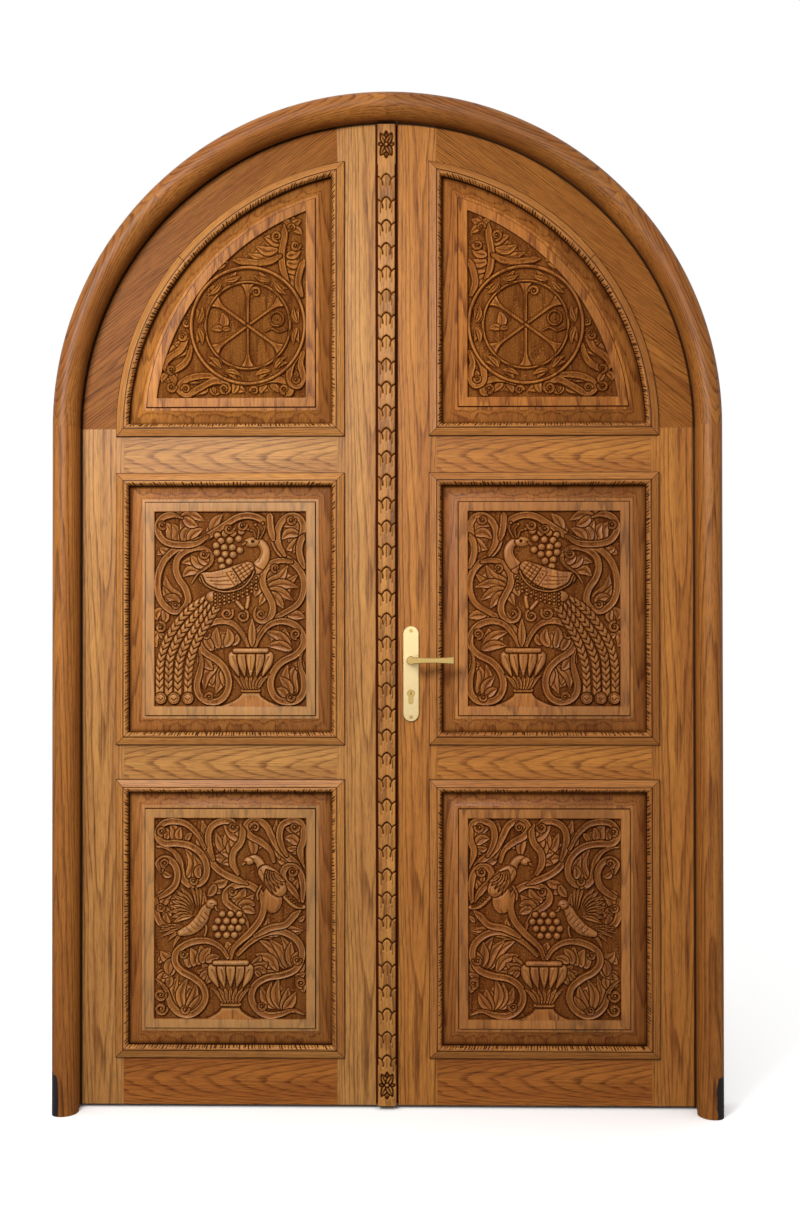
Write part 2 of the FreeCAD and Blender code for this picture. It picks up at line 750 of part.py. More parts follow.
def ribbon(place, points, half=STEM_HALF, end_half=STEM_HALF, rise=STEM_RISE):
    """A stem of changing half width along a smooth curve through drawn points."""
    curve = Part.BSplineCurve()
    curve.interpolate([place(*point) for point in points])
    count = RIBBON_STEPS * (len(points) - 1)
    sides = [[], []]
    for i in range(count + 1):
        share = i / count
        at = curve.FirstParameter + share * (curve.LastParameter - curve.FirstParameter)
        across = curve.tangent(at)[0].cross(Vector(0, 1, 0)) * (half + (end_half - half) * share)
        sides[0].append(curve.value(at) + across)
        sides[1].append(curve.value(at) - across)
    ends = [Part.makeLine(sides[0][i], sides[1][i]) for i in (0, -1)]
    edges = arc_chain(sides[0]) + arc_chain(sides[1]) + ends
    return raised(Part.Face(Part.Wire(Part.__sortEdges__(edges))), rise)


def arc_chain(points):
    """Arcs through a row of points, each over two drawn spans; a nearly straight stretch is a line."""
    edges = []
    here, last = 0, len(points) - 1
    while here < last:
        there = min(here + 2 * RIBBON_STEPS, last)
        start, middle, end = points[here], points[(here + there) // 2], points[there]
        if (middle - start).cross(end - start).Length < FLAT_BULGE * (end - start).Length:
            edges.append(Part.makeLine(start, end))
        else:
            edges.append(Part.Arc(start, middle, end).toShape())
        here = there
    return edges


def drawn_form(place, start, steps, rise):
    """A flat form with an outline of lines and arcs."""
    return raised(outline_face(start, steps, place), rise)


def boss(place, point, radius, rise):
    centre = place(*point)
    return rod_y(radius, centre.x, centre.z, GROUND_Y - rise, GROUND_Y + OVER)


def grapes(place, rows):
    """Tapered buttons in rows; each row is its first place and its number of grapes."""
    buttons = []
    for x, y, count in rows:
        for i in range(count):
            foot = place(x + GRAPE_PITCH * i, y) + Vector(0, OVER, 0)
            buttons.append(Part.makeCone(GRAPE_R, GRAPE_TOP_R, GRAPE_RISE + OVER, foot, Vector(0, -1, 0)))
    return buttons


def urn(place, middle, rim_y):
    """Fluted bowl with a rim, tapering to a foot on a plain mound."""
    bowl_y, foot_y, base_y = rim_y + 4.5, rim_y + 33.0, rim_y + 41.5
    bowl = drawn_form(
        place,
        (middle - 16, bowl_y),
        [
            (middle + 16, bowl_y),
            (middle + 13.5, bowl_y + 12, middle + 5, foot_y),
            (middle - 5, foot_y),
            (middle - 13.5, bowl_y + 12, middle - 16, bowl_y),
        ],
        URN_RISE,
    )
    rim_steps = [(middle + 11.5, rim_y), (middle + 11.5, bowl_y + 0.4), (middle - 11.5, bowl_y + 0.4)]
    rim = drawn_form(place, (middle - 11.5, rim_y), rim_steps, URN_RISE - 0.5)
    mound_steps = [(middle, foot_y + 0.5, middle + 19, base_y)]
    mound = drawn_form(place, (middle - 19, base_y), mound_steps, URN_RISE - 1)
    flutes = []
    for side in (-3, -1, 1, 3):
        top, foot = place(middle + 4.4 * side, bowl_y), place(middle + 1.4 * side, foot_y - 12)
        for end in (top, foot):
            end.y -= URN_RISE + FLUTE_OUT
        flutes.append(Part.makeCylinder(FLUTE_R, (foot - top).Length, top, foot - top))
    return [less(bowl, flutes), rim, mound]


def middle_carving(place):
    """Urn with scrolls, grapes, and a peacock with a hanging tail."""
    stems = (
        ((80, 104), (83, 96), (90, 88.5), (100, 82.5), (110, 76), (114.5, 67), (114.5, 56), (110, 47.5), (102, 41),
         (95.5, 34), (92.5, 26), (89, 17), (82, 11), (74, 9), (66, 10.5), (58, 15.5), (50, 21), (42, 26), (31, 30.5)),
        ((33, 30), (21, 34.5), (13, 42), (8.5, 52), (7.5, 63), (10, 73), (16, 79.5), (22, 81), (27.5, 78), (30, 72),
         (28, 64), (23.5, 57), (21, 49)),
        ((22, 52), (21, 46), (24, 39.5), (29, 36), (36, 33.5), (43, 34.5), (47.5, 39), (47, 44.5), (43, 48.5), (37, 53)),
        ((38, 29), (24, 31), (14, 29), (8.5, 23), (8, 15.5), (12, 10), (19, 8.5), (26, 11)),
        ((101, 39), (96.5, 31), (95.5, 22), (98.5, 14), (104.5, 9.5), (111, 10.5), (114.5, 16), (113.5, 23)),
        ((106, 44), (97, 43), (89, 47), (85, 54), (85.5, 62), (89, 69), (92, 76), (91.5, 83), (87, 87.5), (81, 87)),
        ((74, 107), (71, 100), (65.5, 92.5), (58, 88.5), (49, 89), (42, 93.5), (38.5, 100), (39, 107), (44, 113),
         (51.5, 118), (57.5, 125), (60, 134), (58, 143), (52, 148.5), (44, 148.5), (38, 143.5), (36.5, 136), (38.5, 127)),
        ((82, 104), (86, 95), (92, 90), (99.5, 88.5), (108.5, 91.5), (114, 98.5), (114.5, 106.5), (109, 113.5),
         (99, 119), (92.5, 127), (90.5, 137), (94, 145.5), (101, 149), (109.5, 148), (114.5, 142), (115, 132)),
    )
    forms = [ribbon(place, stem) for stem in stems]
    forms += grapes(place, ((51, 23, 3), (53, 28, 3), (50.5, 32.5, 3), (51, 37.5, 3), (54, 42.5, 2), (55, 47.5, 1)))
    tails = (
        ((46, 72), (33, 79), (22, 91), (13, 107), (9.5, 122), (9.5, 139)),
        ((49, 75), (34, 91), (22, 107), (18.5, 122), (19, 139)),
        ((51, 76), (41, 92), (34, 106), (30, 122), (30, 139)),
    )
    forms += [ribbon(place, tail, TAIL_HALF, TAIL_HALF, STEM_RISE - 0.5) for tail in tails]
    forms += [boss(place, (x, 146), EYE_R, STEM_RISE) for x in (10, 20, 30)]
    forms.append(ribbon(place, ((74, 29), (80, 28.5), (86, 32), (88.5, 38), (88, 44), (83, 51)), 7.0, 15.0, URN_RISE))
    wing = [(59, 50, 77, 45), (79, 51), (67, 66.5, 39.5, 54.5)]
    forms.append(drawn_form(place, (39.5, 54.5), wing, URN_RISE - 0.4))
    forms.append(ribbon(place, ((48, 70), (59, 69), (70, 64), (80, 55)), 12.0, 12.0, STEM_RISE - 1))
    return forms + urn(place, 76, 108.5)


def bottom_carving(place):
    """Urn with scrolls, grapes and two birds."""
    stems = (
        ((62, 104), (66, 95.5), (73, 89), (80, 79.5), (82, 69), (78, 60), (70.5, 55.5), (62, 56.5), (56, 61), (55.5, 67),
         (60, 71.5)),
        ((67, 103), (74, 96), (82, 90.5), (92, 88.5), (101, 91.5), (107.5, 98.5), (108.5, 107), (104, 115.5), (95, 119.5),
         (84, 121.5), (76, 127), (73.5, 135.5), (77, 143.5), (85, 148), (94, 147), (102, 144.5)),
        ((56, 106), (52.5, 100.5), (45, 96), (36, 95.5), (27, 98.5), (21, 104), (20.5, 111), (25, 117), (33, 121.5),
         (39.5, 127.5), (41.5, 135.5), (38, 143), (31, 147.5), (23.5, 146.5), (17.5, 140.5), (14.5, 131)),
        ((37.5, 20), (41, 29), (44, 37), (49, 44), (56, 49), (64, 52.5), (71, 55.5)),
        ((47, 38), (44, 29), (44.5, 20), (47.5, 14), (53, 10.8), (60, 11.5), (63.5, 16.5)),
        ((39, 26), (36, 20.5), (29, 13.5), (21, 11), (13, 12), (8.5, 17.5), (8.5, 23), (13, 26.5), (22, 26.5), (31, 28.5),
         (38, 33.5), (42, 41), (42, 49), (38, 54.5), (31, 56), (26, 52)),
        ((89, 39), (86.5, 31.5), (80, 25.5), (73, 21.5), (69.5, 16), (72.5, 11), (79, 10.8), (84, 14.5), (87.5, 21.5)),
        ((87, 20), (92, 29.5), (98, 35.5), (105, 40.5), (109.5, 47)),
        ((98, 35), (94.5, 28), (93, 20.5), (95, 13.5), (101, 10.5), (107, 11.5), (109.8, 17), (109.5, 25)),
    )
    forms = [ribbon(place, stem) for stem in stems]
    forms += grapes(place, ((52, 76.5, 3), (50, 81.5, 4), (48, 86.5, 4), (50, 91.5, 3)))
    wing = [(16, 70, 19, 85), (33, 84), (37, 78, 35, 58)]
    forms.append(drawn_form(place, (26, 57), wing, STEM_RISE))
    forms.append(ribbon(place, ((27, 87), (34, 83), (40, 77), (46, 70)), 12.0, 8.0, URN_RISE))
    forms.append(ribbon(place, ((93, 58), (87, 52), (82, 46), (78, 40), (71, 39)), 17.0, 6.0, URN_RISE))
    forms.append(ribbon(place, ((92, 57), (95, 62), (99, 67), (105, 71)), 6.0, 6.0, STEM_RISE))
    return forms + urn(place, 59, 109)


def arched_carving(place):
    """Roundel of two rings with a six-armed cross, and scrolls in the corners."""
    centre = place(77.9, 96)
    forms = []
    for radius, half in ((ROUNDEL_R, 4.4), (ROUNDEL_IN_R, 3.4)):
        ring = boss(place, (77.9, 96), radius + half, URN_RISE)
        forms.append(less(ring, [boss(place, (77.9, 96), radius - half, URN_RISE + OVER)]))
    for i in range(3):
        arm = drawn_arm()
        arm.rotate(Vector(0, 0, 0), Vector(0, 1, 0), 60.0 * i)
        arm.translate(Vector(centre.x, 0, centre.z))
        forms.append(arm)
    stems = (
        ((110, 58), (106, 50), (105, 40), (107, 28), (107, 17)),
        ((33, 112), (30.5, 121), (25, 127.5), (16, 131), (11.5, 126), (16.5, 120), (24, 115)),
        ((58, 137), (48, 135), (35, 136), (26, 140), (23.5, 146)),
        ((94, 138.5), (104, 138.5), (111.5, 143), (111, 149)),
    )
    return forms + [ribbon(place, stem) for stem in stems]


def drawn_arm():
    """Two opposite arms of the cross, waisted in the middle and flared to the inner ring."""
    reach, waist, flare = ROUNDEL_IN_R, ARM_WAIST, ARM_FLARE
    steps = [(waist, 0, flare, reach), (-flare, reach), (-waist, 0, -flare, -reach)]

    def place(u, v):
        return Vector(u, GROUND_Y, v)

    return drawn_form(place, (flare, -reach), steps, STEM_RISE)


# Mouldings


def bolection_section(place):
    """Moulding that laps the stile by MOULD_LAP and rests on the panel's border."""
    top = FRONT_Y - MOULD_PROUD
    bead_y = top + MOULD_QUIRK
    seat = MOULD_LAP + MOULD_EDGE_PLAY
    steps = [
        (0, FRONT_Y - MOULD_EDGE_H),
        (MOULD_EASE, FRONT_Y - MOULD_EDGE_H - MOULD_EASE),
        (MOULD_LAP - MOULD_QUIRK / 2, top),
        (MOULD_LAP, bead_y),
        rounded((MOULD_LAP, bead_y), (MOULD_W, bead_y), (MOULD_W, FRONT_Y)),
        (MOULD_W, BORDER_Y),
        (seat, BORDER_Y),
        (seat, FRONT_Y),
    ]
    return outline_face((0, FRONT_Y), steps, place)


def ovolo_section(place):
    """Quarter-round moulding in the corner between the panel's back and the opening's edge."""
    top = TONGUE_BACK_Y + OVOLO_H
    edge = (OVOLO_W, TONGUE_BACK_Y)
    return outline_face((0, TONGUE_BACK_Y), [edge, rounded(edge, (OVOLO_W, top), (0, top))], place)


def mitred(bar, outline):
    """Part of a moulding bar inside an outline drawn in the XZ plane."""
    return bar.common(plan_prism(outline, -LEAF_T, LEAF_T))


def rectangular_moulding(section, width, x0, x1, z0, z1):
    """Four mitred lengths round the rectangle x0, x1, z0, z1."""
    m = width + OVER
    outer = [(x0, z0), (x1, z0), (x1, z1), (x0, z1)]
    inner = [(x0 + m, z0 + m), (x1 - m, z0 + m), (x1 - m, z1 - m), (x0 + m, z1 - m)]
    span, height = Vector(x1 - x0, 0, 0), Vector(0, 0, z1 - z0)
    bars = [
        section(along_x(z0, 1, x0)).extrude(span),
        section(along_z(x1, -1, z0)).extrude(height),
        section(along_x(z1, -1, x0)).extrude(span),
        section(along_z(x0, 1, z0)).extrude(height),
    ]
    ends = [(0, 1), (1, 2), (2, 3), (3, 0)]
    return [mitred(bar, [outer[i], outer[j], inner[j], inner[i]]) for bar, (i, j) in zip(bars, ends)]


def arched_moulding(section, width, lap):
    """Level, upright and curved lengths round the arched opening, with one butt joint in the curve."""
    x0, z0, radius = OPEN_IN_X - lap, SPRING_Z - lap, OPEN_OUT_X + lap
    m = width + OVER
    inner_x, inner_r = x0 + width, radius - width
    outer = Vector(x0, 0, SPRING_Z + math.sqrt(radius**2 - x0**2))
    inner = Vector(inner_x, 0, SPRING_Z + math.sqrt(inner_r**2 - inner_x**2))
    past_outer = outer + (outer - inner)
    past_inner = inner + (inner - outer) * (OVER / width)
    tip, root = (past_outer.x, past_outer.z), (past_inner.x, past_inner.z)
    low_corner, far_corner = (x0 + m, z0 + m), (radius - m, z0 + m)
    joint = math.radians(ARC_JOINT_ANGLE)
    near, far = [
        (r * math.cos(joint), SPRING_Z + r * math.sin(joint)) for r in (radius - m, radius + m)
    ]
    below_deg = math.degrees(math.asin(2 * lap / radius))
    upright = section(along_z(x0, 1, z0)).extrude(Vector(0, 0, radius + lap + width))
    level = section(along_x(z0, 1, x0)).extrude(Vector(radius - x0, 0, 0))
    curve = turned(section(along_z(radius, -1, SPRING_Z)), -below_deg, 90.0)
    return [
        mitred(upright, [(x0, z0), low_corner, root, tip, (x0, tip[1])]),
        mitred(level, [(x0, z0), (radius, z0), far_corner, low_corner]),
        mitred(curve, [far_corner, (radius + m, z0 - m), (radius + m, far[1]), far, near]),
        mitred(curve, [near, far, (far[0], tip[1]), tip, root]),
    ]


def carved(panel, forms):
    """Adds the forms one at a time, so that each touches a panel that is already whole."""
    for form in forms:
        panel = panel.fuse(form)
    return panel.removeSplitter()


def carved_panels():
    """The three panels of a leaf with their main carved forms."""
    openings = panel_openings()
    panels = {}
    for name, sheet, carving in (
        ("bottom", BOTTOM_SHEET, bottom_carving),
        ("middle", MIDDLE_SHEET, middle_carving),
    ):
        forms = carving(square_drawing(sheet, *openings[name]))
        panels[name + "_panel"] = carved(rectangular_panel(*openings[name]), forms)
    panels["arched_panel"] = carved(arched_panel(), arched_carving(arched_drawing(ARCH_SHEET)))
    return panels


def leaf_nodes(meet_x, panels):
    """All pieces of one leaf by their plain names."""
    nodes = {"hinge_stile": hinge_stile(), "meeting_stile": meeting_stile(meet_x)}
    for name, (z0, z1) in rail_heights().items():
        nodes[name] = rail(z0, z1)
    nodes["arched_head"] = arched_head()
    lap = MOULD_LAP
    back_pieces = arched_moulding(ovolo_section, OVOLO_W, 0)
    for name, (x0, x1, z0, z1) in panel_openings().items():
        nodes[name + "_panel"] = panels[name + "_panel"]
        rim = (x0 - lap, x1 + lap, z0 - lap, z1 + lap)
        front_pieces = rectangular_moulding(bolection_section, MOULD_W, *rim)
        nodes[name + "_moulding"] = Part.makeCompound(front_pieces)
        back_pieces += rectangular_moulding(ovolo_section, OVOLO_W, x0, x1, z0, z1)
    nodes["arched_panel"] = panels["arched_panel"]
    front_pieces = arched_moulding(bolection_section, MOULD_W, lap)
    nodes["arched_moulding"] = Part.makeCompound(front_pieces)
    nodes["back_mouldings"] = Part.makeCompound(back_pieces)
    return nodes


# Centre strip, strike plate and flush bolts of the left leaf


def strip_length(half_w, z0, z1):
    steps = [
        (-half_w, FRONT_Y - STRIP_T + STRIP_EASE),
        (-half_w + STRIP_EASE, FRONT_Y - STRIP_T),
        (half_w - STRIP_EASE, FRONT_Y - STRIP_T),
        (half_w, FRONT_Y - STRIP_T + STRIP_EASE),
        (half_w, FRONT_Y),
    ]
    face = outline_face((-half_w, FRONT_Y), steps, along_z(0, 1, z0))
    return face.extrude(Vector(0, 0, z1 - z0))


def centre_strip():
    z0 = FLOOR_GAP + STRIP_FOOT_GAP
    z1 = SPRING_Z + SIGHT_R - STRIP_END_GAP
    half_w = STRIP_W / 2
    run = strip_length(half_w - STRIP_WAIST, z0 + PLAQUE_H, z1 - PLAQUE_H)
    plaques = [strip_length(half_w, z0, z0 + PLAQUE_H), strip_length(half_w, z1 - PLAQUE_H, z1)]
    return fused([run] + plaques)


def strike_windows(depth, play):
    """Windows for the latch and the dead bolt, cut this deep into the left leaf's edge."""
    x0 = LEFT_EDGE_X - depth
    x1 = PAST_EDGE_X
    half_t = max(LATCH_T, BOLT_T) / 2 + play
    latch = box(x0, x1, -half_t, half_t, LATCH_Z - LATCH_H / 2 - play, LATCH_Z + LATCH_H / 2 + play)
    bolt = box(x0, x1, -half_t, half_t, BOLT_Z - play, BOLT_Z + BOLT_H + play)
    return [latch, bolt]


def strike_blank(face_x, play):
    z0 = BOLT_Z - STRIKE_OVER - play
    z1 = LATCH_Z + LATCH_H / 2 + STRIKE_OVER + play
    half_w = STRIKE_W / 2 + play
    return box(EDGE_PLATE_X - STRIKE_T, face_x, -half_w, half_w, z0, z1)


def strike_plate():
    return less(strike_blank(EDGE_PLATE_X, 0), strike_windows(BOLT_REACH, STRIKE_WINDOW_PLAY))


def edge_bevel():
    """Wedge taken off the outer corner of the left meeting edge."""
    corners = [(PAST_EDGE_X, BACK_Y), (PAST_EDGE_X, FRONT_Y), (LEFT_EDGE_X - EDGE_BEVEL, FRONT_Y)]
    return outline_face((LEFT_EDGE_X, BACK_Y), corners, along_z(0, 1, 0)).extrude(Vector(0, 0, LONG))


def flush_ends():
    """Bolt end and inward direction of the two flush bolts."""
    reach = math.sqrt(LEAF_R**2 - (ROD_X + ROD_R) ** 2)
    return ((SPRING_Z + reach, -1), (FLOOR_GAP, 1))


def level_span(end_z, inward, near, far):
    """Heights of a stretch from near to far inside an end of the leaf, low one first."""
    return sorted((end_z + inward * near, end_z + inward * far))


def thumb_span(end_z, inward, before, after):
    mid = ROD_SETBACK + THUMB_FROM_END
    return level_span(end_z, inward, mid - THUMB_H / 2 - before, mid + THUMB_H / 2 + after)


def flush_rod(end_z, inward):
    z0, z1 = level_span(end_z, inward, ROD_SETBACK, ROD_SETBACK + ROD_L)
    t0, t1 = thumb_span(end_z, inward, 0, 0)
    thumb = box(ROD_X, EDGE_PLATE_X - THUMB_SETBACK, -THUMB_W / 2, THUMB_W / 2, t0, t1)
    return fused([rod_z(ROD_R, ROD_X, 0, z0, z1), thumb])


def flush_plate(end_z, inward, face_x, play):
    near, far = FLUSH_PLATE_FROM_END - play, FLUSH_PLATE_FROM_END + FLUSH_PLATE_H + play
    z0, z1 = level_span(end_z, inward, near, far)
    half_w = FLUSH_PLATE_W / 2 + play
    return box(EDGE_PLATE_X - FLUSH_PLATE_T, face_x, -half_w, half_w, z0, z1)


def flush_slot(end_z, inward):
    """Room for the thumb piece over its whole travel."""
    z0, z1 = thumb_span(end_z, inward, ROD_THROW + ROD_PLAY, ROD_PLAY)
    half_w = THUMB_W / 2 + ROD_PLAY
    return box(ROD_X, PAST_EDGE_X, -half_w, half_w, z0, z1)


def flush_bore(end_z, inward):
    z0, z1 = level_span(end_z, inward, -ROD_R, ROD_SETBACK + ROD_L + ROD_PLAY)
    return rod_z(ROD_R + ROD_PLAY, ROD_X, 0, z0, z1)


def fit_left_hardware(nodes):
    """Adds the left leaf's own pieces and lets them into its meeting stile."""
    pockets = strike_windows(BOLT_REACH + STRIKE_POCKET_GAP, STRIKE_WINDOW_PLAY)
    tools = [edge_bevel(), strike_blank(PAST_EDGE_X, RECESS_PLAY)] + pockets
    plates = []
    for end in flush_ends():
        tools += [flush_plate(*end, PAST_EDGE_X, RECESS_PLAY), flush_slot(*end), flush_bore(*end)]
        plates.append(less(flush_plate(*end, EDGE_PLATE_X, 0), [flush_slot(*end)]))
    nodes["left_meeting_stile"] = less(nodes["left_meeting_stile"], tools)
    nodes["centre_strip"] = centre_strip()
    nodes["strike_plate"] = strike_plate()
    nodes["flush_bolt_plates"] = Part.makeCompound(plates)
    top_end, bottom_end = flush_ends()
    nodes["top_flush_bolt"] = flush_rod(*top_end)
    nodes["bottom_flush_bolt"] = flush_rod(*bottom_end)


# Lock of the right leaf


def cylinder_profile(y0, y1, play):
    """Round barrel with a rounded web below it."""
    web_r = CYL_WEB_W / 2 + play
    web_end = CYL_Z + CYL_R - CYL_H + CYL_WEB_W / 2
    barrel = rod_y(CYL_R + play, SPINDLE_X, CYL_Z, y0, y1)
    web = box(SPINDLE_X - web_r, SPINDLE_X + web_r, y0, y1, web_end, CYL_Z)
    return fused([barrel, web, rod_y(web_r, SPINDLE_X, web_end, y0, y1)])


def cylinder_half_length():
    return LEAF_T / 2 + PLATE_T + CYL_OVER


def key_cylinder():
    half = cylinder_half_length()
    cam_room = CAM_T / 2 + CAM_PLAY / 2
    body = cylinder_profile(-half, half, 0)
    tools = [
        rod_y(PLUG_R + RUN_PLAY, SPINDLE_X, CYL_Z, -half - OVER, half + OVER),
        rod_y(CAM_R + CAM_PLAY, SPINDLE_X, CYL_Z, -cam_room, cam_room),
    ]
    return less(body, tools)


def cylinder_plug():
    """Plug with the cam in the middle and a keyway in each end."""
    half = cylinder_half_length()
    half_cam = CAM_T / 2
    cam = box(SPINDLE_X - CAM_W / 2, SPINDLE_X + CAM_W / 2, -half_cam, half_cam, CYL_Z - CAM_R, CYL_Z)
    cam = cam.common(rod_y(CAM_R, SPINDLE_X, CYL_Z, -half_cam, half_cam))
    plug = fused([rod_y(PLUG_R, SPINDLE_X, CYL_Z, -half, half), cam])
    x0, x1 = SPINDLE_X - KEYWAY_W / 2, SPINDLE_X + KEYWAY_W / 2
    z0, z1 = CYL_Z - KEYWAY_H / 2, CYL_Z + KEYWAY_H / 2
    keyways = [
        box(x0, x1, -half - OVER, -half + KEYWAY_DEPTH, z0, z1),
        box(x0, x1, half - KEYWAY_DEPTH, half + OVER, z0, z1),
    ]
    return less(plug, keyways)


def lock_windows():
    """Windows for the latch and the dead bolt through the forend and the case's front wall."""
    x0, x1 = RIGHT_EDGE_X - OVER, CASE_X + CASE_WALL + OVER
    play = WINDOW_PLAY
    half_latch, half_bolt = LATCH_T / 2 + play, BOLT_T / 2 + play
    low, high = LATCH_Z - LATCH_H / 2 - play, LATCH_Z + LATCH_H / 2 + play
    return [
        box(x0, x1, -half_latch, half_latch, low, high),
        box(x0, x1, -half_bolt, half_bolt, BOLT_Z - play, BOLT_Z + BOLT_H + play),
    ]


def forend(play):
    half_w = FOREND_W / 2 + play
    z0, z1 = CASE_BOTTOM - FOREND_OVER - play, CASE_TOP + FOREND_OVER + play
    return box(RIGHT_EDGE_X, CASE_X, -half_w, half_w, z0, z1)


def case_block(play):
    half_t = CASE_T / 2 + play
    x1 = CASE_X + CASE_DEPTH + play
    return box(CASE_X, x1, -half_t, half_t, CASE_BOTTOM - play, CASE_TOP + play)


def lock_case():
    """Hollow case with its forend, open where the bolts, the follower and the cylinder pass."""
    front_wall = box(CASE_X, CASE_X + CASE_WALL, -CASE_T / 2, CASE_T / 2, CASE_BOTTOM, CASE_TOP)
    walls = case_block(0).cut(case_block(-CASE_WALL))
    tools = [
        rod_y(HUB_R + RUN_PLAY, SPINDLE_X, SPINDLE_Z, -CASE_T, CASE_T),
        cylinder_profile(-CASE_T, CASE_T, CYL_PLAY),
    ]
    return less(fused([walls, front_wall, forend(0)]), tools + lock_windows())


def nose_tip():
    tilt = math.radians(NOSE_TILT)
    reach = NOSE_REACH
    return SPINDLE_X + reach * math.sin(tilt), SPINDLE_Z + reach * math.cos(tilt)


def latch_bolt():
    """Head in the forend, bar above the follower and a hook that the follower's nose draws back."""
    head_end = CASE_X + LATCH_BODY
    hook_x = nose_tip()[0] + NOSE_TIP_R + NOSE_PLAY
    half_t, half_bar = LATCH_T / 2, LATCH_BAR_T / 2
    bar_low, bar_high = LATCH_Z - LATCH_BAR_H / 2, LATCH_Z + LATCH_BAR_H / 2
    nose_x = RIGHT_EDGE_X - LATCH_STAND
    head = box(nose_x, head_end, -half_t, half_t, LATCH_Z - LATCH_H / 2, LATCH_Z + LATCH_H / 2)
    bar = box(head_end, hook_x + HOOK_T, -half_bar, half_bar, bar_low, bar_high)
    hook = box(hook_x, hook_x + HOOK_T, -half_bar, half_bar, LATCH_Z - HOOK_DROP, bar_high)
    return less(fused([head, bar, hook]), [latch_bevel(nose_x)])


def latch_bevel(nose_x):
    """Slanted face of the latch nose, on the room side."""
    half_t, half_h = LATCH_T / 2, LATCH_H
    corners = [
        Vector(nose_x, half_t, LATCH_Z - half_h),
        Vector(nose_x + LATCH_STAND, half_t, LATCH_Z - half_h),
        Vector(nose_x, half_t - LATCH_STAND, LATCH_Z - half_h),
    ]
    return Part.Face(Part.makePolygon(corners + corners[:1])).extrude(Vector(0, 0, 2 * half_h))


def dead_bolt():
    x0 = RIGHT_EDGE_X + BOLT_SETBACK
    return box(x0, x0 + BOLT_L, -BOLT_T / 2, BOLT_T / 2, BOLT_Z, BOLT_Z + BOLT_H)


def spindle_bar(width, y0, y1):
    half = width / 2
    return box(SPINDLE_X - half, SPINDLE_X + half, y0, y1, SPINDLE_Z - half, SPINDLE_Z + half)


def spindle_end():
    return LEAF_T / 2 + SPINDLE_OVER


def spindle_socket():
    end = spindle_end() + OVER
    return spindle_bar(SPINDLE_W + 2 * SPINDLE_PLAY, -end, end)


def lever_follower():
    """Hub in the lock case with a nose towards the latch's hook."""
    hub = rod_y(HUB_R, SPINDLE_X, SPINDLE_Z, -CASE_T / 2, CASE_T / 2)
    tip_x, tip_z = nose_tip()
    nose = box(
        SPINDLE_X - NOSE_TIP_R,
        SPINDLE_X + NOSE_TIP_R,
        -NOSE_T / 2,
        NOSE_T / 2,
        SPINDLE_Z,
        SPINDLE_Z + NOSE_REACH,
    )
    nose.rotate(Vector(SPINDLE_X, 0, SPINDLE_Z), Vector(0, 1, 0), NOSE_TILT)
    tip = rod_y(NOSE_TIP_R, tip_x, tip_z, -NOSE_T / 2, NOSE_T / 2)
    return less(fused([hub, nose, tip]), [spindle_socket()])


# Handle plates and levers, drawn on the outer side


def plate_screw_heights():
    middle = PLATE_TOP - PLATE_H / 2
    return (middle - PLATE_SCREW_PITCH / 2, middle + PLATE_SCREW_PITCH / 2)


def handle_plate():
    """Long round-ended plate with a collar for the lever's neck."""
    y0, y1 = FRONT_Y - PLATE_T, FRONT_Y
    end_r = PLATE_W / 2
    low, high = PLATE_TOP - PLATE_H + end_r, PLATE_TOP - end_r
    x0, x1 = SPINDLE_X - end_r, SPINDLE_X + end_r
    blank = fused(
        [
            box(x0, x1, y0, y1, low, high),
            rod_y(end_r, SPINDLE_X, low, y0, y1),
            rod_y(end_r, SPINDLE_X, high, y0, y1),
        ]
    )
    rim = [e for e in blank.Edges if abs(e.BoundBox.YMax - y0) < SAME]
    blank = blank.makeChamfer(PLATE_EASE, rim)
    blank = fused([blank, rod_y(COLLAR_R, SPINDLE_X, SPINDLE_Z, y0 - COLLAR_H, y1)])
    tools = [
        rod_y(NECK_R + RUN_PLAY, SPINDLE_X, SPINDLE_Z, y0 - COLLAR_H - OVER, y1 + OVER),
        cylinder_profile(y0 - OVER, y1 + OVER, CYL_PLAY),
    ]
    for z in plate_screw_heights():
        tools.append(rod_y(PLATE_SCREW_R + SCREW_PLAY, SPINDLE_X, z, y0 - OVER, y1 + OVER))
    return less(blank, tools)


def plate_screw(z):
    """Through screw with a head on each plate."""
    face_y = LEAF_T / 2 + PLATE_T
    shaft = rod_y(PLATE_SCREW_R, SPINDLE_X, z, -face_y, face_y)
    heads = [
        rod_y(PLATE_SCREW_HEAD_R, SPINDLE_X, z, -face_y - PLATE_SCREW_HEAD_H, -face_y),
        rod_y(PLATE_SCREW_HEAD_R, SPINDLE_X, z, face_y, face_y + PLATE_SCREW_HEAD_H),
    ]
    return fused([shaft] + heads)


def eased(solid, ease):
    """Bevels the rims of the two faces that look along Y."""
    rims = [e for e in solid.Edges if e.BoundBox.YLength < SAME]
    return solid.makeChamfer(ease, rims)


def lever_arm(front_y):
    """Waisted bar with a flared tip on a round hub."""
    root, waist, tip = LEVER_ROOT_H / 2, LEVER_WAIST_H / 2, LEVER_TIP_H / 2

    def place(u, v):
        return Vector(SPINDLE_X + u, front_y, SPINDLE_Z + v)

    steps = [
        (LEVER_WAIST_AT, waist, LEVER_L, tip),
        (LEVER_L, -tip),
        (LEVER_WAIST_AT, -waist, 0, -root),
    ]
    bar = outline_face((0, root), steps, place).extrude(Vector(0, LEVER_T, 0))
    hub = rod_y(LEVER_HUB_R, SPINDLE_X, SPINDLE_Z, front_y, front_y + LEVER_T)
    return fused([eased(bar, LEVER_EASE), eased(hub, LEVER_EASE)])


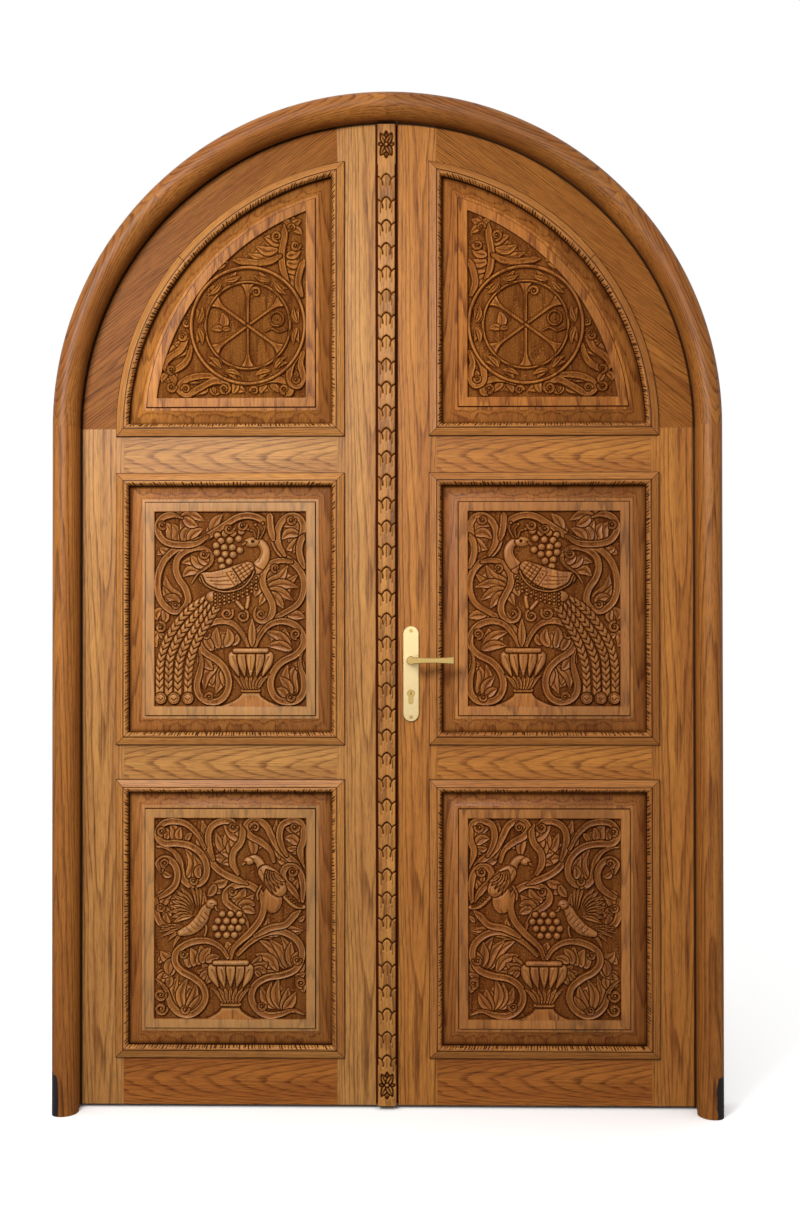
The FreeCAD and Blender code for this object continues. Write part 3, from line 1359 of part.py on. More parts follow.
def lever():
    front_y = FRONT_Y - LEVER_REACH
    arm_back_y = front_y + LEVER_T
    collar_y = FRONT_Y - PLATE_T - COLLAR_H
    taper = NECK_R - NECK_THIN_R
    neck_steps = [
        (NECK_R, FRONT_Y - NECK_SETBACK),
        (NECK_R, collar_y - taper),
        (NECK_THIN_R, collar_y - 2 * taper),
        (NECK_THIN_R, arm_back_y - LEVER_EASE),
        (0, arm_back_y - LEVER_EASE),
    ]
    section = outline_face((0, FRONT_Y - NECK_SETBACK), neck_steps, along_z(SPINDLE_X, 1, SPINDLE_Z))
    neck = section.revolve(Vector(SPINDLE_X, 0, SPINDLE_Z), Vector(0, 1, 0), 360.0)
    return less(fused([lever_arm(front_y), neck]), [spindle_socket()])


def fit_right_hardware(nodes):
    """Adds the lock, plates and levers, and lets them into the right meeting stile."""
    tools = [forend(RECESS_PLAY), case_block(CASE_PLAY)]
    tools.append(rod_y(SPINDLE_HOLE_R, SPINDLE_X, SPINDLE_Z, -LEAF_T, LEAF_T))
    tools.append(cylinder_profile(-LEAF_T, LEAF_T, CYL_PLAY))
    for z in plate_screw_heights():
        tools.append(rod_y(PLATE_SCREW_R + SCREW_PLAY, SPINDLE_X, z, -LEAF_T, LEAF_T))
    nodes["right_meeting_stile"] = less(nodes["right_meeting_stile"], tools)
    nodes["lock_case"] = lock_case()
    nodes["latch_bolt"] = latch_bolt()
    nodes["dead_bolt"] = dead_bolt()
    nodes["key_cylinder"] = key_cylinder()
    nodes["cylinder_plug"] = cylinder_plug()
    nodes["lever_follower"] = lever_follower()
    nodes["lever_spindle"] = spindle_bar(SPINDLE_W, -spindle_end(), spindle_end())
    nodes["front_lever"] = lever()
    nodes["rear_lever"] = mirror_y(nodes["front_lever"])
    nodes["front_handle_plate"] = handle_plate()
    nodes["rear_handle_plate"] = mirror_y(nodes["front_handle_plate"])
    nodes["handle_plate_screws"] = Part.makeCompound([plate_screw(z) for z in plate_screw_heights()])


def all_nodes():
    nodes = frame_nodes()
    nodes.update(hinge_nodes())
    panels = carved_panels()
    for name, shape in leaf_nodes(-LEFT_EDGE_X, panels).items():
        nodes["left_" + name] = mirror_x(shape)
    for name, shape in leaf_nodes(RIGHT_EDGE_X, panels).items():
        nodes["right_" + name] = shape
    fit_left_hardware(nodes)
    fit_right_hardware(nodes)
    return nodes


def main():
    os.makedirs("parts", exist_ok=True)
    for name, shape in all_nodes().items():
        shape.exportStep(os.path.join("parts", name + ".step"))


main()
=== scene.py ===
import math

import bpy
import numpy as np
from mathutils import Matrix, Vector


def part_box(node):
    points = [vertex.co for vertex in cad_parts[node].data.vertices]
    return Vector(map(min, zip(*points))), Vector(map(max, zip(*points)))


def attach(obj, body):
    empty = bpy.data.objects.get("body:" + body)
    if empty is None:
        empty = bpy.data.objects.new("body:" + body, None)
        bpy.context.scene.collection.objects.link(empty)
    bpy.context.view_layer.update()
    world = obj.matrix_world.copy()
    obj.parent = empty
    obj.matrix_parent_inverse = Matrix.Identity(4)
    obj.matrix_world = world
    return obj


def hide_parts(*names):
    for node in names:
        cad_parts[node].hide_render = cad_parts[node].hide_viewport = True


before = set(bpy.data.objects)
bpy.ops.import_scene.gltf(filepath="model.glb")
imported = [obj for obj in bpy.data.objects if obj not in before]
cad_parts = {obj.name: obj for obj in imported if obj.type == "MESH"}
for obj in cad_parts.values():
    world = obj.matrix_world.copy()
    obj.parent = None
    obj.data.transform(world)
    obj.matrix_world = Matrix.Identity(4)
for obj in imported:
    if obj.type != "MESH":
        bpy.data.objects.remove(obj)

bl_info = {
    "name": "Carved church door",
    "version": (1, 0, 0),
    "blender": (4, 0, 0),
    "location": "3D View > Sidebar > Door",
    "description": "Carvings, mouldings, finishes and stage for an arched oak double door",
    "category": "Add Mesh",
}

MM = 0.001
LEAVES = (("left", -1), ("right", 1))


# Drawings of the carved grounds, in units of about 3 mm, x to the right and y down.
# Each is drawn for the left leaf. A stem is a curve through its points. A fan is a leaf: the lobes
# start between two base points and run to the tips. A curl is (x, y, radius, start angle, turns).

MIDDLE_SHEET = (5.5, 6.0, 116.5, 152.0)
MIDDLE_STEMS = (
    # right vine from the urn, over the top and down into the two loops at the left
    ((77, 108), (80, 97), (88, 89.5), (100, 82.5), (110, 76), (114.5, 67), (114.5, 56), (110, 47.5),
     (102, 41), (95.5, 34), (92.5, 26), (89, 17), (82, 11), (74, 9), (66, 10.5), (58, 15.5), (50, 21),
     (42, 26), (31, 30.5), (21, 34.5), (13, 42), (8.5, 52), (7.5, 63), (10, 73), (16, 79.5), (22, 81),
     (27.5, 78), (30, 72), (28, 64), (23.5, 57), (21, 49), (22.5, 41), (28, 36), (36, 33.5),
     (43, 34.5), (47.5, 39), (47, 44.5), (43, 48.5), (37, 53), (32.5, 60)),
    ((44, 25), (36, 30), (24, 31), (14, 29), (8.5, 23), (8, 15.5), (12, 10), (19, 8.5), (26, 11)),
    ((101, 39), (96.5, 31), (95.5, 22), (98.5, 14), (104.5, 9.5), (111, 10.5), (114.5, 16),
     (113.5, 23), (110, 29)),
    ((115, 48), (112, 39), (112, 31), (115, 23)),
    ((92.5, 27), (90.5, 17), (90, 7)),
    # loop beside the bird
    ((106, 44), (97, 43), (89, 47), (85, 54), (85.5, 62), (89, 69), (92, 76), (91.5, 83), (87, 87.5),
     (81, 87), (78.5, 82.5), (80, 78)),
    # scrolls on both sides of the urn
    ((74, 107.5), (71, 100), (65.5, 92.5), (58, 88.5), (49, 89), (42, 93.5), (38.5, 100), (39, 107),
     (44, 113), (51.5, 118), (57.5, 125), (60, 134), (58, 143), (52, 148.5), (44, 148.5), (38, 143.5),
     (36.5, 136), (38.5, 127), (40, 118), (38, 110), (35, 105)),
    ((79, 107.5), (83, 99), (90, 91), (99.5, 88.5), (108.5, 91.5), (114, 98.5), (114.5, 106.5),
     (109, 113.5), (99, 119), (92.5, 127), (90.5, 137), (94, 145.5), (101, 149), (109.5, 148),
     (114.5, 142), (115, 132), (112.5, 123), (112.5, 115), (115.5, 109)),
)
MIDDLE_FANS = (
    ((16, 28), (30, 28.5), ((11.5, 14), (18, 15), (24, 13), (33, 17), (41, 19)), 0.15),
    ((20, 9.5), (27, 10.5), ((35, 10), (42, 13), (37, 17)), -0.1),
    ((44, 22), (47, 21), ((50, 11), (55, 8)), 0.1),
    ((25.5, 70), (22, 78), ((13, 54), (11.5, 62), (13, 70), (16, 75)), -0.15),
    ((38, 51), (46, 45), ((26, 55), (25, 44.5), (32, 39), (38, 37)), 0.15),
    ((20, 35), (18, 37), ((7, 38.5), (9, 33)), 0.1),
    ((112, 20), (110, 30), ((99, 17), (98.5, 27), (102, 35), (107, 37)), 0.15),
    ((87, 57), (88, 67), ((93, 48), (103, 46.5), (111, 53), (111, 63), (107, 73), (100, 79)), 0.12),
    ((62, 106), (48, 110), ((66, 98), (59, 94), (51, 93), (43, 98)), 0.12),
    ((105, 103), (106, 110), ((101, 94), (94, 96), (86, 96), (88, 107)), -0.12),
    ((50, 120), (55, 125), ((42, 129), (42, 140), (50, 143), (56, 137)), 0.12),
    ((110, 142), (103, 146), ((111, 119), (103, 121), (97, 130), (95, 139)), -0.12),
    ((101, 85), (103, 84), ((115, 81), (116, 86)), 0.1),
    ((39, 112), (42, 115), ((37, 121), (48, 125)), -0.1),
    ((11, 79), (12, 80), ((7, 88), (12, 90)), 0.15),
    ((8, 96), (9, 98), ((7, 108), (13, 104)), 0.15),
    ((112, 117), (113, 119), ((116, 128), (107, 121)), 0.1),
    ((84, 59), (85, 60), ((82, 77), (79, 70)), -0.1),
)
MIDDLE_CURLS = (
    (58.5, 82.5, 4.6, -30, 1.4), (70, 84.5, 4.4, -60, 1.3), (9.5, 93, 4.0, -90, 1.2),
    (11, 16, 3.2, 60, 1.0), (41.5, 38, 3.4, 0, 1.1), (105.5, 12.5, 3.4, 0, 1.2), (94, 48.5, 3.2, 90, 1.0),
    (83.5, 83, 3.6, 0, 1.2), (109, 98, 3.8, 90, 1.3), (43, 98.5, 3.0, 0, 1.0), (45.5, 145, 3.0, 180, 1.0),
    (105, 145.5, 3.0, 0, 1.0), (20.5, 76, 3.0, 0, 1.0),
)
MIDDLE_GRAPES = (
    (51.5, 24), (57, 22.5), (63, 22.5), (69, 21), (54, 28), (60.5, 27.5), (67, 26.5), (50.5, 31.5),
    (56.5, 33), (62.5, 33), (51, 37), (57, 38), (63, 38.5), (68, 35), (54, 42.5), (60, 43.5), (55, 47.5),
)
MIDDLE_URN = (76.0, 108.5, 112.5, 129.5, 11.5, 17.0)  # centre, rim top, bowl top, bowl foot, rim, bowl

BOTTOM_SHEET = (6.0, 8.5, 111.5, 150.0)
BOTTOM_STEMS = (
    # round the grapes
    ((59, 108), (61, 101), (66, 95.5), (73, 89), (80, 79.5), (82, 69), (78, 60), (70.5, 55.5), (62, 56.5),
     (56, 61), (55.5, 67), (60, 71.5), (66, 76), (70.5, 83), (71.5, 89)),
    # branches on both sides of the urn
    ((64, 105), (72, 97), (82, 90.5), (92, 88.5), (101, 91.5), (107.5, 98.5), (108.5, 107), (104, 115.5),
     (95, 119.5), (84, 121.5), (76, 127), (73.5, 135.5), (77, 143.5), (85, 148), (94, 147), (102, 144.5),
     (110, 147.5)),
    ((57, 107), (52.5, 100.5), (45, 96), (36, 95.5), (27, 98.5), (21, 104), (20.5, 111), (25, 117),
     (33, 121.5), (39.5, 127.5), (41.5, 135.5), (38, 143), (31, 147.5), (23.5, 146.5), (17.5, 140.5),
     (14.5, 131), (11, 126), (7, 123)),
    # trunk and upper loops
    ((37.5, 20), (41, 29), (44, 37), (49, 44), (56, 49), (64, 52.5), (71, 55.5)),
    ((47, 38), (44, 29), (43.5, 20), (46.5, 14), (53, 10.8), (60, 11.5), (63.5, 16.5)),
    ((41, 30), (36, 20.5), (29, 13.5), (21, 11), (13, 12), (8.5, 17.5), (8.5, 23), (13, 26.5), (22, 26.5),
     (31, 28.5), (38, 33.5), (42, 41), (42, 49), (38, 54.5), (31, 56), (26, 52), (24.5, 46), (23, 38),
     (19, 32.5), (13, 29.5), (7, 29)),
    ((7, 66), (14, 62), (20, 56.5), (22, 48.5), (19.5, 41), (13.5, 37.5), (8.5, 41), (10, 48)),
    ((7, 66), (7.5, 77), (11, 84), (17, 87.5)),
    ((89, 39), (86.5, 31.5), (80, 25.5), (73, 21.5), (69.5, 16), (72.5, 11), (79, 10.8), (84, 14.5),
     (87.5, 21.5), (92, 29.5), (98, 35.5), (105, 40.5), (109.5, 47)),
    ((98, 35), (94.5, 28), (93, 20.5), (95, 13.5), (101, 10.5), (107, 11.5), (109.8, 17), (109.5, 25),
     (107.5, 31), (108.5, 38), (110.5, 44)),
    ((109, 67), (109.5, 58), (108, 49), (104, 43.5), (98.5, 43), (95.5, 47), (96.5, 53), (101, 58),
     (105, 63.5), (107, 68)),
    ((64, 48), (60.5, 41), (61, 33), (66, 26), (67.5, 19), (65.5, 13)),
    ((76, 92), (86, 86.5), (97, 84), (103, 78), (108, 73.5)),
)
BOTTOM_FANS = (
    ((58, 65), (67, 73), ((61, 60), (69, 58), (75, 63), (76, 70), (76, 76)), 0.12),
    ((47, 55), (48, 56), ((52.5, 62), (57, 52), (43, 64)), 0.1),
    ((96, 115), (104, 113), ((78, 94), (86, 94.5), (94, 92), (101, 96), (106, 103)), 0.08),
    ((92, 117), (90, 118), ((76, 105), (77, 118)), 0.12),
    ((90, 143), (96, 144), ((80, 128), (87, 125), (92.5, 122), (99, 129), (104, 132)), -0.08),
    ((30, 114), (42, 110), ((25.5, 104), (31, 101), (38, 99), (45, 100.5), (51, 107)), 0.1),
    ((22, 144), (30, 145), ((15, 122), (22, 120), (29, 122), (35, 126), (38, 134)), -0.1),
    ((14, 24), (28, 25), ((12, 15.5), (17, 12.5), (24, 15.5), (32, 19.5)), 0.12),
    ((28, 52), (37, 51), ((27, 29.5), (33, 35), (37.5, 42)), 0.15),
    ((12, 47), (10, 48), ((18, 50), (12.5, 41.5)), 0.1),
    ((57, 42), (61, 33), ((47, 36.5), (46, 27), (48.5, 19), (56, 18)), 0.12),
    ((61, 42), (64, 31), ((53, 41), (52, 33), (57, 26), (61, 20)), 0.12),
    ((71, 23), (73, 22), ((83, 28.5), (75, 36)), 0.08),
    ((107, 25), (105, 32), ((97, 15.5), (96.5, 23), (98, 30), (102, 34)), 0.12),
    ((92, 37), (93, 38), ((100, 40.5), (91, 9.5)), 0.06),
    ((101, 56), (104, 60), ((100, 49), (106, 52)), 0.1),
    ((95, 88), (97, 87), ((110.5, 87), (106, 92)), 0.05),
    ((38.5, 32), (42, 32), ((35.5, 19), (39, 10), (43, 19)), 0.05),
    ((76, 94), (84, 92), ((78, 81), (85, 80), (93, 81.5), (103, 83.5), (110, 88)), 0.1),
    ((104, 79), (107, 82), ((107, 73.5), (111, 78)), 0.08),
    ((103, 118), (105, 122), ((110, 111), (111, 118), (110, 132)), 0.1),
    ((74, 112), (76, 117), ((80, 106), (85, 111), (84, 118), (80, 122)), 0.1),
    ((45, 115), (47, 120), ((39, 112), (35.5, 117), (37, 123), (42, 126)), -0.1),
    ((13, 117), (16, 120), ((8, 121), (9.5, 128), (15, 129)), 0.1),
    ((15, 61), (19, 65), ((8, 67), (11, 74), (18, 74)), 0.1),
    ((69.5, 24), (71.5, 22), ((54, 13.5), (62, 11), (69, 12)), -0.08),
    ((57, 107), (59, 107), ((56.5, 96), (62, 98)), 0.05),
    ((19, 108), (20, 110), ((8, 111.5), (10, 103)), 0.15),
    ((12, 84), (16, 86), ((11, 70), (14, 76)), 0.15),
    ((17, 108), (18, 109), ((11.5, 122), (16, 120)), -0.15),
)
BOTTOM_CURLS = (
    (10, 133.5, 4.2, 0, 1.3), (10.5, 143.5, 4.4, 0, 1.3), (108, 125, 3.6, 90, 1.2), (60.5, 15, 3.4, 0, 1.2),
    (76, 15, 3.4, 180, 1.2), (103.5, 15, 3.4, 0, 1.2), (102, 46.5, 3.2, 0, 1.1), (13, 40.5, 3.2, 90, 1.2),
    (11, 18, 3.2, 90, 1.1), (60, 60.5, 3.0, 0, 1.0), (33, 53, 2.8, 0, 1.0), (105, 109, 3.0, 0, 1.1),
    (80.5, 141.5, 3.0, 0, 1.1), (27, 144, 3.0, 0, 1.0), (10, 72, 3.0, 0, 1.1), (26, 105, 2.8, 0, 1.0),
)
BOTTOM_GRAPES = (
    (53, 76.5), (59, 76.5), (65, 76.5), (50, 81.5), (56, 81.5), (61.5, 81.5), (67, 81.5), (48, 86.5),
    (53.5, 86.5), (59.5, 86.5), (64.5, 86.5), (50, 91.5), (56, 91.5), (61.5, 91.5),
)
BOTTOM_URN = (59.0, 109.0, 113.0, 128.0, 11.0, 16.5)

ARCH_SHEET = (5.5, 7.5, 124.2, 152.3)
ARCH_RING = (77.9, 96.0)
ARCH_STEMS = (
    ((110, 62), (106, 52), (105, 40), (107, 28), (107, 17)),
    ((104, 42), (96, 46), (86, 47.5), (76, 46.5), (66, 45)),
    ((121, 73), (118, 64), (119.5, 54), (123, 45)),
    ((33, 112), (30.5, 121), (25, 127.5), (16, 131), (11.5, 126), (16.5, 120), (24, 115), (28, 107),
     (27.5, 102), (23.5, 101)),
    ((60, 136), (48, 135), (35, 136), (26, 140), (23.5, 146), (30, 149.5), (40, 144.5), (50, 139.5),
     (59, 140), (63.5, 145.5), (60, 149.5)),
    ((78, 141), (84, 141.5), (94, 138.5), (104, 138.5), (111.5, 143), (111, 149), (104, 149.5)),
    ((122.5, 117), (120, 126), (122, 136), (118.5, 143), (112.5, 141), (111, 134), (114, 124), (122, 116)),
)
ARCH_FANS = (
    ((101, 43), (103, 31), ((69, 43), (78, 40), (84, 34), (91, 27), (96, 23)), -0.1),
    ((108, 58), (109, 42), ((118, 69), (121.5, 58), (122.5, 47), (120, 38)), -0.1),
    ((113, 20), (113, 20), ((105, 25), (105.5, 14.5), (113.5, 11), (120.5, 14), (121, 25)), 0.1),
    ((31, 116), (28, 105), ((12, 125), (14.5, 118), (19, 110), (23, 101)), 0.1),
    ((13, 139), (17, 139), ((9, 133), (14, 131), (22, 133)), 0.1),
    ((42, 138), (46, 138), ((29, 140), (33, 136), (38, 134)), 0.08),
    ((46, 146), (50, 144), ((34, 150), (57, 147.5), (52, 149)), 0.1),
    ((66, 138), (68, 139), ((70, 148), (76, 147), (66, 149)), 0.12),
    ((90, 142), (96, 142), ((82, 147), (88, 149), (103, 148)), 0.1),
    ((116, 128), (117, 132), ((117, 118), (121, 124), (114, 139)), 0.1),
    ((60, 47), (62, 46), ((52, 53), (56, 45)), 0.05),
    ((14, 133), (16, 134), ((9, 140), (20, 142)), 0.1),
)
ARCH_CURLS = (
    (101, 26.5, 4.0, 90, 1.3), (116, 34, 3.8, 0, 1.3), (113, 20, 3.0, 180, 1.0),
    (25.5, 104.5, 3.2, 0, 1.2), (17, 130, 3.4, 90, 1.2), (17, 143.5, 4.0, 0, 1.3), (28.5, 145, 3.4, 180, 1.2),
    (59, 145, 3.6, 90, 1.2), (83, 146.5, 3.4, 180, 1.2), (107, 145.5, 3.6, 90, 1.2), (116, 138, 3.0, 0, 1.1),
    (29, 94, 3.0, 0, 1.1),
)


# Settings

def length(name, description, default):
    return bpy.props.FloatProperty(name=name, description=description, default=default, unit="LENGTH")


def hex_code(name, description, default):
    return bpy.props.StringProperty(name=name, description=description, default=default)


class DoorSizes(bpy.types.PropertyGroup):
    """Sizes of the pieces that are made here."""
    panel_edge_y: length("Panel border", "Front of the border round a panel", -0.020)
    cove_width: length("Cove width", "Width of the hollow round a panel", 0.028)
    cove_rise: length("Cove rise", "Rise of the hollow round a panel", 0.008)
    fillet_width: length("Fillet width", "Flat between hollow and field", 0.008)
    field_rise: length("Field rise", "Step from the flat up to the field", 0.005)
    field_band: length("Field band", "Plain band round the carving", 0.021)
    carving_depth: length("Carving depth", "From the field to the ground", 0.009)
    carving_cell: length("Carving cell", "Grid step of a carved ground", 0.0014)
    nick_pitch: length("Nick pitch", "Step of the gouge nicks in the bead", 0.0076)
    row_pitch: length("Leaf pitch", "Step of the leaf rows on the strip", 0.0533)
    strip_cell: length("Strip cell", "Grid step of the carved strip", 0.0014)


class DoorColours(bpy.types.PropertyGroup):
    """Colours of wood and metal, as sRGB hex codes."""
    oak_pale: hex_code("Pale oak", "Early wood", "#B68245")
    # pale colour of the panels' flats and crests: wear and a painted highlight
    oak_worn_sheen: hex_code("Planed oak", "Pale flats of the panels", "#B8A87C")
    oak_mid: hex_code("Oak", "Body of the wood", "#9D6937")
    oak_dark: hex_code("Dark oak", "Late wood and pores", "#5E300F")
    # near-black used as painted shade in the nicks and quirks of the mouldings, on the leaves beside the
    # frame and on the stop behind the nosing, and for the mitre joint lines
    nick: hex_code("Nick", "Blackened nicks and folds", "#1C0C04")
    soot: hex_code("Soot", "Blackened feet of the legs", "#191A20")
    # dark colour of the hollows: stain, deepened as painted shade
    stain_and_shade: hex_code("Stain", "Stain left in hollows", "#3C1705")
    plate_brass: hex_code("Plate brass", "Handle plates", "#D3BC8A")
    lever_brass: hex_code("Lever brass", "Levers", "#B89A5E")
    steel: hex_code("Steel", "Hinges, lock and bolts", "#8C8A86")
    floor: hex_code("Floor", "Pale floor", "#FDFDFC")
    floor_bounce: hex_code("Floor bounce", "Floor as it lights the door", "#8F8C88")


# Small helpers

def sizes():
    return bpy.context.scene.door_sizes


def colours():
    return bpy.context.scene.door_colours


def linear(code):
    """An sRGB hex code as a linear colour with alpha."""
    parts = [int(code[i:i + 2], 16) / 255 for i in (1, 3, 5)]
    return [c / 12.92 if c <= 0.04045 else ((c + 0.055) / 1.055) ** 2.4 for c in parts] + [1.0]


def deselect_all():
    if bpy.context.mode != "OBJECT":
        bpy.ops.object.mode_set(mode="OBJECT")
    bpy.ops.object.select_all(action="DESELECT")


def make_active(piece):
    deselect_all()
    piece.select_set(True)
    bpy.context.view_layer.objects.active = piece


def take(name):
    """The object that an operator has just added, renamed."""
    piece = bpy.context.active_object
    piece.name = piece.data.name = name
    return piece


def join(pieces, name):
    deselect_all()
    for piece in pieces:
        piece.select_set(True)
    bpy.context.view_layer.objects.active = pieces[0]
    if len(pieces) > 1:
        bpy.ops.object.join()
    return take(name)


def vertices(piece):
    places = np.empty(len(piece.data.vertices) * 3)
    piece.data.vertices.foreach_get("co", places)
    return places.reshape(-1, 3)


def place_vertices(piece, places):
    piece.data.vertices.foreach_set("co", np.ascontiguousarray(places).ravel())
    piece.data.update()


def set_stain_and_shade(piece, values):
    """Stores how dark each vertex is made, from 0 to 1, by stain and by painted shade."""
    layer = piece.data.attributes.get("stain_and_shade") or piece.data.attributes.new("stain_and_shade", "FLOAT", "POINT")
    layer.data.foreach_set("value", np.ascontiguousarray(values, dtype=np.float32))


def edit_all(piece):
    """Starts editing with the whole mesh selected."""
    make_active(piece)
    bpy.ops.object.mode_set(mode="EDIT")
    bpy.ops.mesh.select_all(action="SELECT")


def select_faces(piece, chosen):
    """Selects the faces whose middle passes the test, and starts face editing."""
    edit_all(piece)
    bpy.ops.mesh.select_mode(type="FACE")
    bpy.ops.mesh.select_all(action="DESELECT")
    bpy.ops.object.mode_set(mode="OBJECT")
    for face in piece.data.polygons:
        face.select = bool(chosen(face.center))
    bpy.ops.object.mode_set(mode="EDIT")


def turn_outward(piece, angle, threshold=None):
    """Merges doubles where a threshold is given, turns the faces outward and smooths all but sharp edges."""
    edit_all(piece)
    if threshold:
        bpy.ops.mesh.remove_doubles(threshold=threshold)
    bpy.ops.mesh.normals_make_consistent(inside=False)
    bpy.ops.object.mode_set(mode="OBJECT")
    bpy.ops.object.shade_smooth_by_angle(angle=angle)


def give(piece, material):
    piece.data.materials.clear()
    piece.data.materials.append(material)


def smoothstep(value):
    value = np.clip(value, 0, 1)
    return value * value * (3 - 2 * value)


def blurred(field, passes):
    """A field of heights after some passes of a three-step average both ways."""
    for _ in range(passes):
        padded = np.pad(field, 1, mode="edge")
        field = (padded[:-2, 1:-1] + padded[2:, 1:-1] + padded[1:-1, :-2] + padded[1:-1, 2:]
                 + 4 * padded[1:-1, 1:-1]) / 8
    return field


def circle(x, y, radius, count):
    """Points round a circle, with the first one again at the end."""
    return [(x + radius * math.cos(a), y + radius * math.sin(a)) for a in np.linspace(0, 2 * np.pi, count)]


DOUBLES = 1e-5            # vertices closer than this many metres become one
BORDER = 14.5             # flat round a panel beside the moulding, in mm
ARC_COLUMNS = 160         # steps along the arc of a panel


# Carving

class Relief:
    """Heights of a carving over its ground, on a grid, in millimetres."""
    EDGE = 1.8       # width of the steep flank of a carved form
    MOAT = 2.2       # width of the cut that parts a form from what lies behind it
    RUN = 24         # steps of a curve that are worked on together

    def __init__(self, wide, high, cell, sheet, margin=2.0):
        self.across = int(round((wide + 2 * margin) / cell))
        self.up = int(round((high + 2 * margin) / cell))
        self.x, self.z = np.meshgrid(np.linspace(-margin, wide + margin, self.across + 1),
                                     np.linspace(-margin, high + margin, self.up + 1))
        self.cell = self.x[0, 1] - self.x[0, 0]
        self.rise = self.z[1, 0] - self.z[0, 0]
        self.h = np.zeros_like(self.x)
        left, top, right, bottom = sheet
        self.scale = np.array([wide / (right - left), -high / (bottom - top)])
        self.shift = np.array([-left * self.scale[0], -bottom * self.scale[1]])
        self.unit = self.scale[0]

    def to_mm(self, points):
        """Drawn points as places in millimetres."""
        return np.asarray(points, float) * self.scale + self.shift

    def curve(self, points, step=1.0):
        """A smooth curve through drawn points, as places about a millimetre apart."""
        p = self.to_mm(points)
        if len(p) == 2:
            count = max(2, int(np.hypot(*(p[1] - p[0])) / step) + 1)
            return p[0] + (p[1] - p[0]) * np.linspace(0, 1, count)[:, None]
        p = np.vstack([2 * p[0] - p[1], p, 2 * p[-1] - p[-2]])
        runs = []
        for a, b, c, d in zip(p[:-3], p[1:-2], p[2:-1], p[3:]):
            t = np.linspace(0, 1, max(2, int(np.hypot(*(c - b)) / step) + 1))[:-1, None]
            runs.append(0.5 * (2 * b + (c - a) * t + (2 * a - 5 * b + 4 * c - d) * t ** 2
                               + (3 * b - a - 3 * c + d) * t ** 3))
        return np.vstack(runs + [p[-2:-1]])

    def depth_inside(self, path, half):
        """How far each grid point lies inside a stroke, with its place across and along it."""
        inside = np.full(self.h.shape, -99.0)
        across = np.ones(self.h.shape)
        along = np.zeros(self.h.shape)
        share = np.linspace(0, 1, len(path))
        for first in range(0, len(path), self.RUN):
            run, width = path[first:first + self.RUN + 1], half[first:first + self.RUN + 1]
            reach = width.max() + self.MOAT + self.cell
            corner = np.array([self.x[0, 0], self.z[0, 0]])
            low, high = run.min(0) - reach - corner, run.max(0) + reach - corner
            cols = slice(max(0, int(low[0] / self.cell)), max(0, int(high[0] / self.cell) + 2))
            rows = slice(max(0, int(low[1] / self.rise)), max(0, int(high[1] / self.rise) + 2))
            x, z = self.x[rows, cols, None], self.z[rows, cols, None]
            if not x.size:
                continue
            gap = np.sqrt((x - run[:, 0]) ** 2 + (z - run[:, 1]) ** 2)
            deep = width - gap
            pick = deep.argmax(-1)
            best = np.take_along_axis(deep, pick[..., None], -1)[..., 0]
            near = np.take_along_axis(gap, pick[..., None], -1)[..., 0]
            better = best > inside[rows, cols]
            inside[rows, cols] = np.where(better, best, inside[rows, cols])
            across[rows, cols] = np.where(better, near / np.maximum(width[pick], 1e-6), across[rows, cols])
            along[rows, cols] = np.where(better, share[first:first + len(run)][pick], along[rows, cols])
        return inside, across, along

    def stroke(self, points, half, top, form, widths=None):
        """Lays a form of a given cross-section along a curve, over what is there."""
        path = points if isinstance(points, np.ndarray) else self.curve(points)
        share = np.linspace(0, 1, len(path))
        width = half * (widths(share) if widths else np.ones_like(share))
        inside, across, along = self.depth_inside(path, width)
        moat = (inside <= 0) & (inside > -self.MOAT)
        self.h = np.where(moat, np.minimum(self.h, self.h * (0.25 + 0.75 * -inside / self.MOAT)), self.h)
        height = top * form(np.clip(across, 0, 1), along) * smoothstep(inside / self.EDGE)
        self.h = np.where(inside > 0, height, self.h)

    def cut(self, points, half, depth):
        """Cuts a V groove along a curve through drawn points."""
        self.groove(self.curve(points), half, depth)

    def groove(self, path, half, depth):
        """Cuts a V groove along places in millimetres."""
        inside, across, _ = self.depth_inside(path, np.full(len(path), half))
        self.h = np.where(inside > 0, np.maximum(self.h - depth * (1 - across), 0.2), self.h)

    def stem(self, points, half=8.6, top=7.8):
        self.stroke(points, half, top, channelled, stem_shape)

    def lobe(self, start, tip, bow, half=None, top=6.8):
        """One scooped, pointed lobe of a leaf, bent to one side."""
        a, b = np.asarray(start, float), np.asarray(tip, float)
        middle = (a + b) / 2 + bow * np.array([-(b - a)[1], (b - a)[0]])
        length = np.hypot(*((b - a) * self.scale))
        half = half or np.clip(0.33 * length, 4.8, 12.0)
        self.stroke((a, middle, b), half, top, scooped, leaf_shape)

    def web(self, corners, top=5.0):
        """Fills a leaf between its lobes."""
        places = self.to_mm(corners)
        inside = np.zeros(self.h.shape, bool)
        for (x0, z0), (x1, z1) in zip(places, np.roll(places, -1, axis=0)):
            crossing = (z0 > self.z) != (z1 > self.z)
            inside ^= crossing & (self.x < x0 + (x1 - x0) * (self.z - z0) / (z1 - z0 or 1.0))
        self.h = np.maximum(self.h, top * blurred(inside.astype(float), 2))

    def fan(self, base_a, base_b, tips, bow):
        """A leaf: long lobes to the tips, with shorter ones between them behind."""
        a, b = np.asarray(base_a, float), np.asarray(base_b, float)
        tips = np.asarray(tips, float)
        middle = (a + b) / 2
        self.web([a, *(middle + 0.8 * (tips - middle)), b])
        between = [(i + 0.5, (tips[i] + tips[i + 1]) / 2, 0.72) for i in range(len(tips) - 1)]
        for place, tip, reach in between + [(i, tip, 1.0) for i, tip in enumerate(tips)]:
            share = place / max(1, len(tips) - 1)
            start = a + (b - a) * share
            self.lobe(start, start + (tip - start) * reach, 1.5 * bow * (1 if share < 0.6 else -0.6))

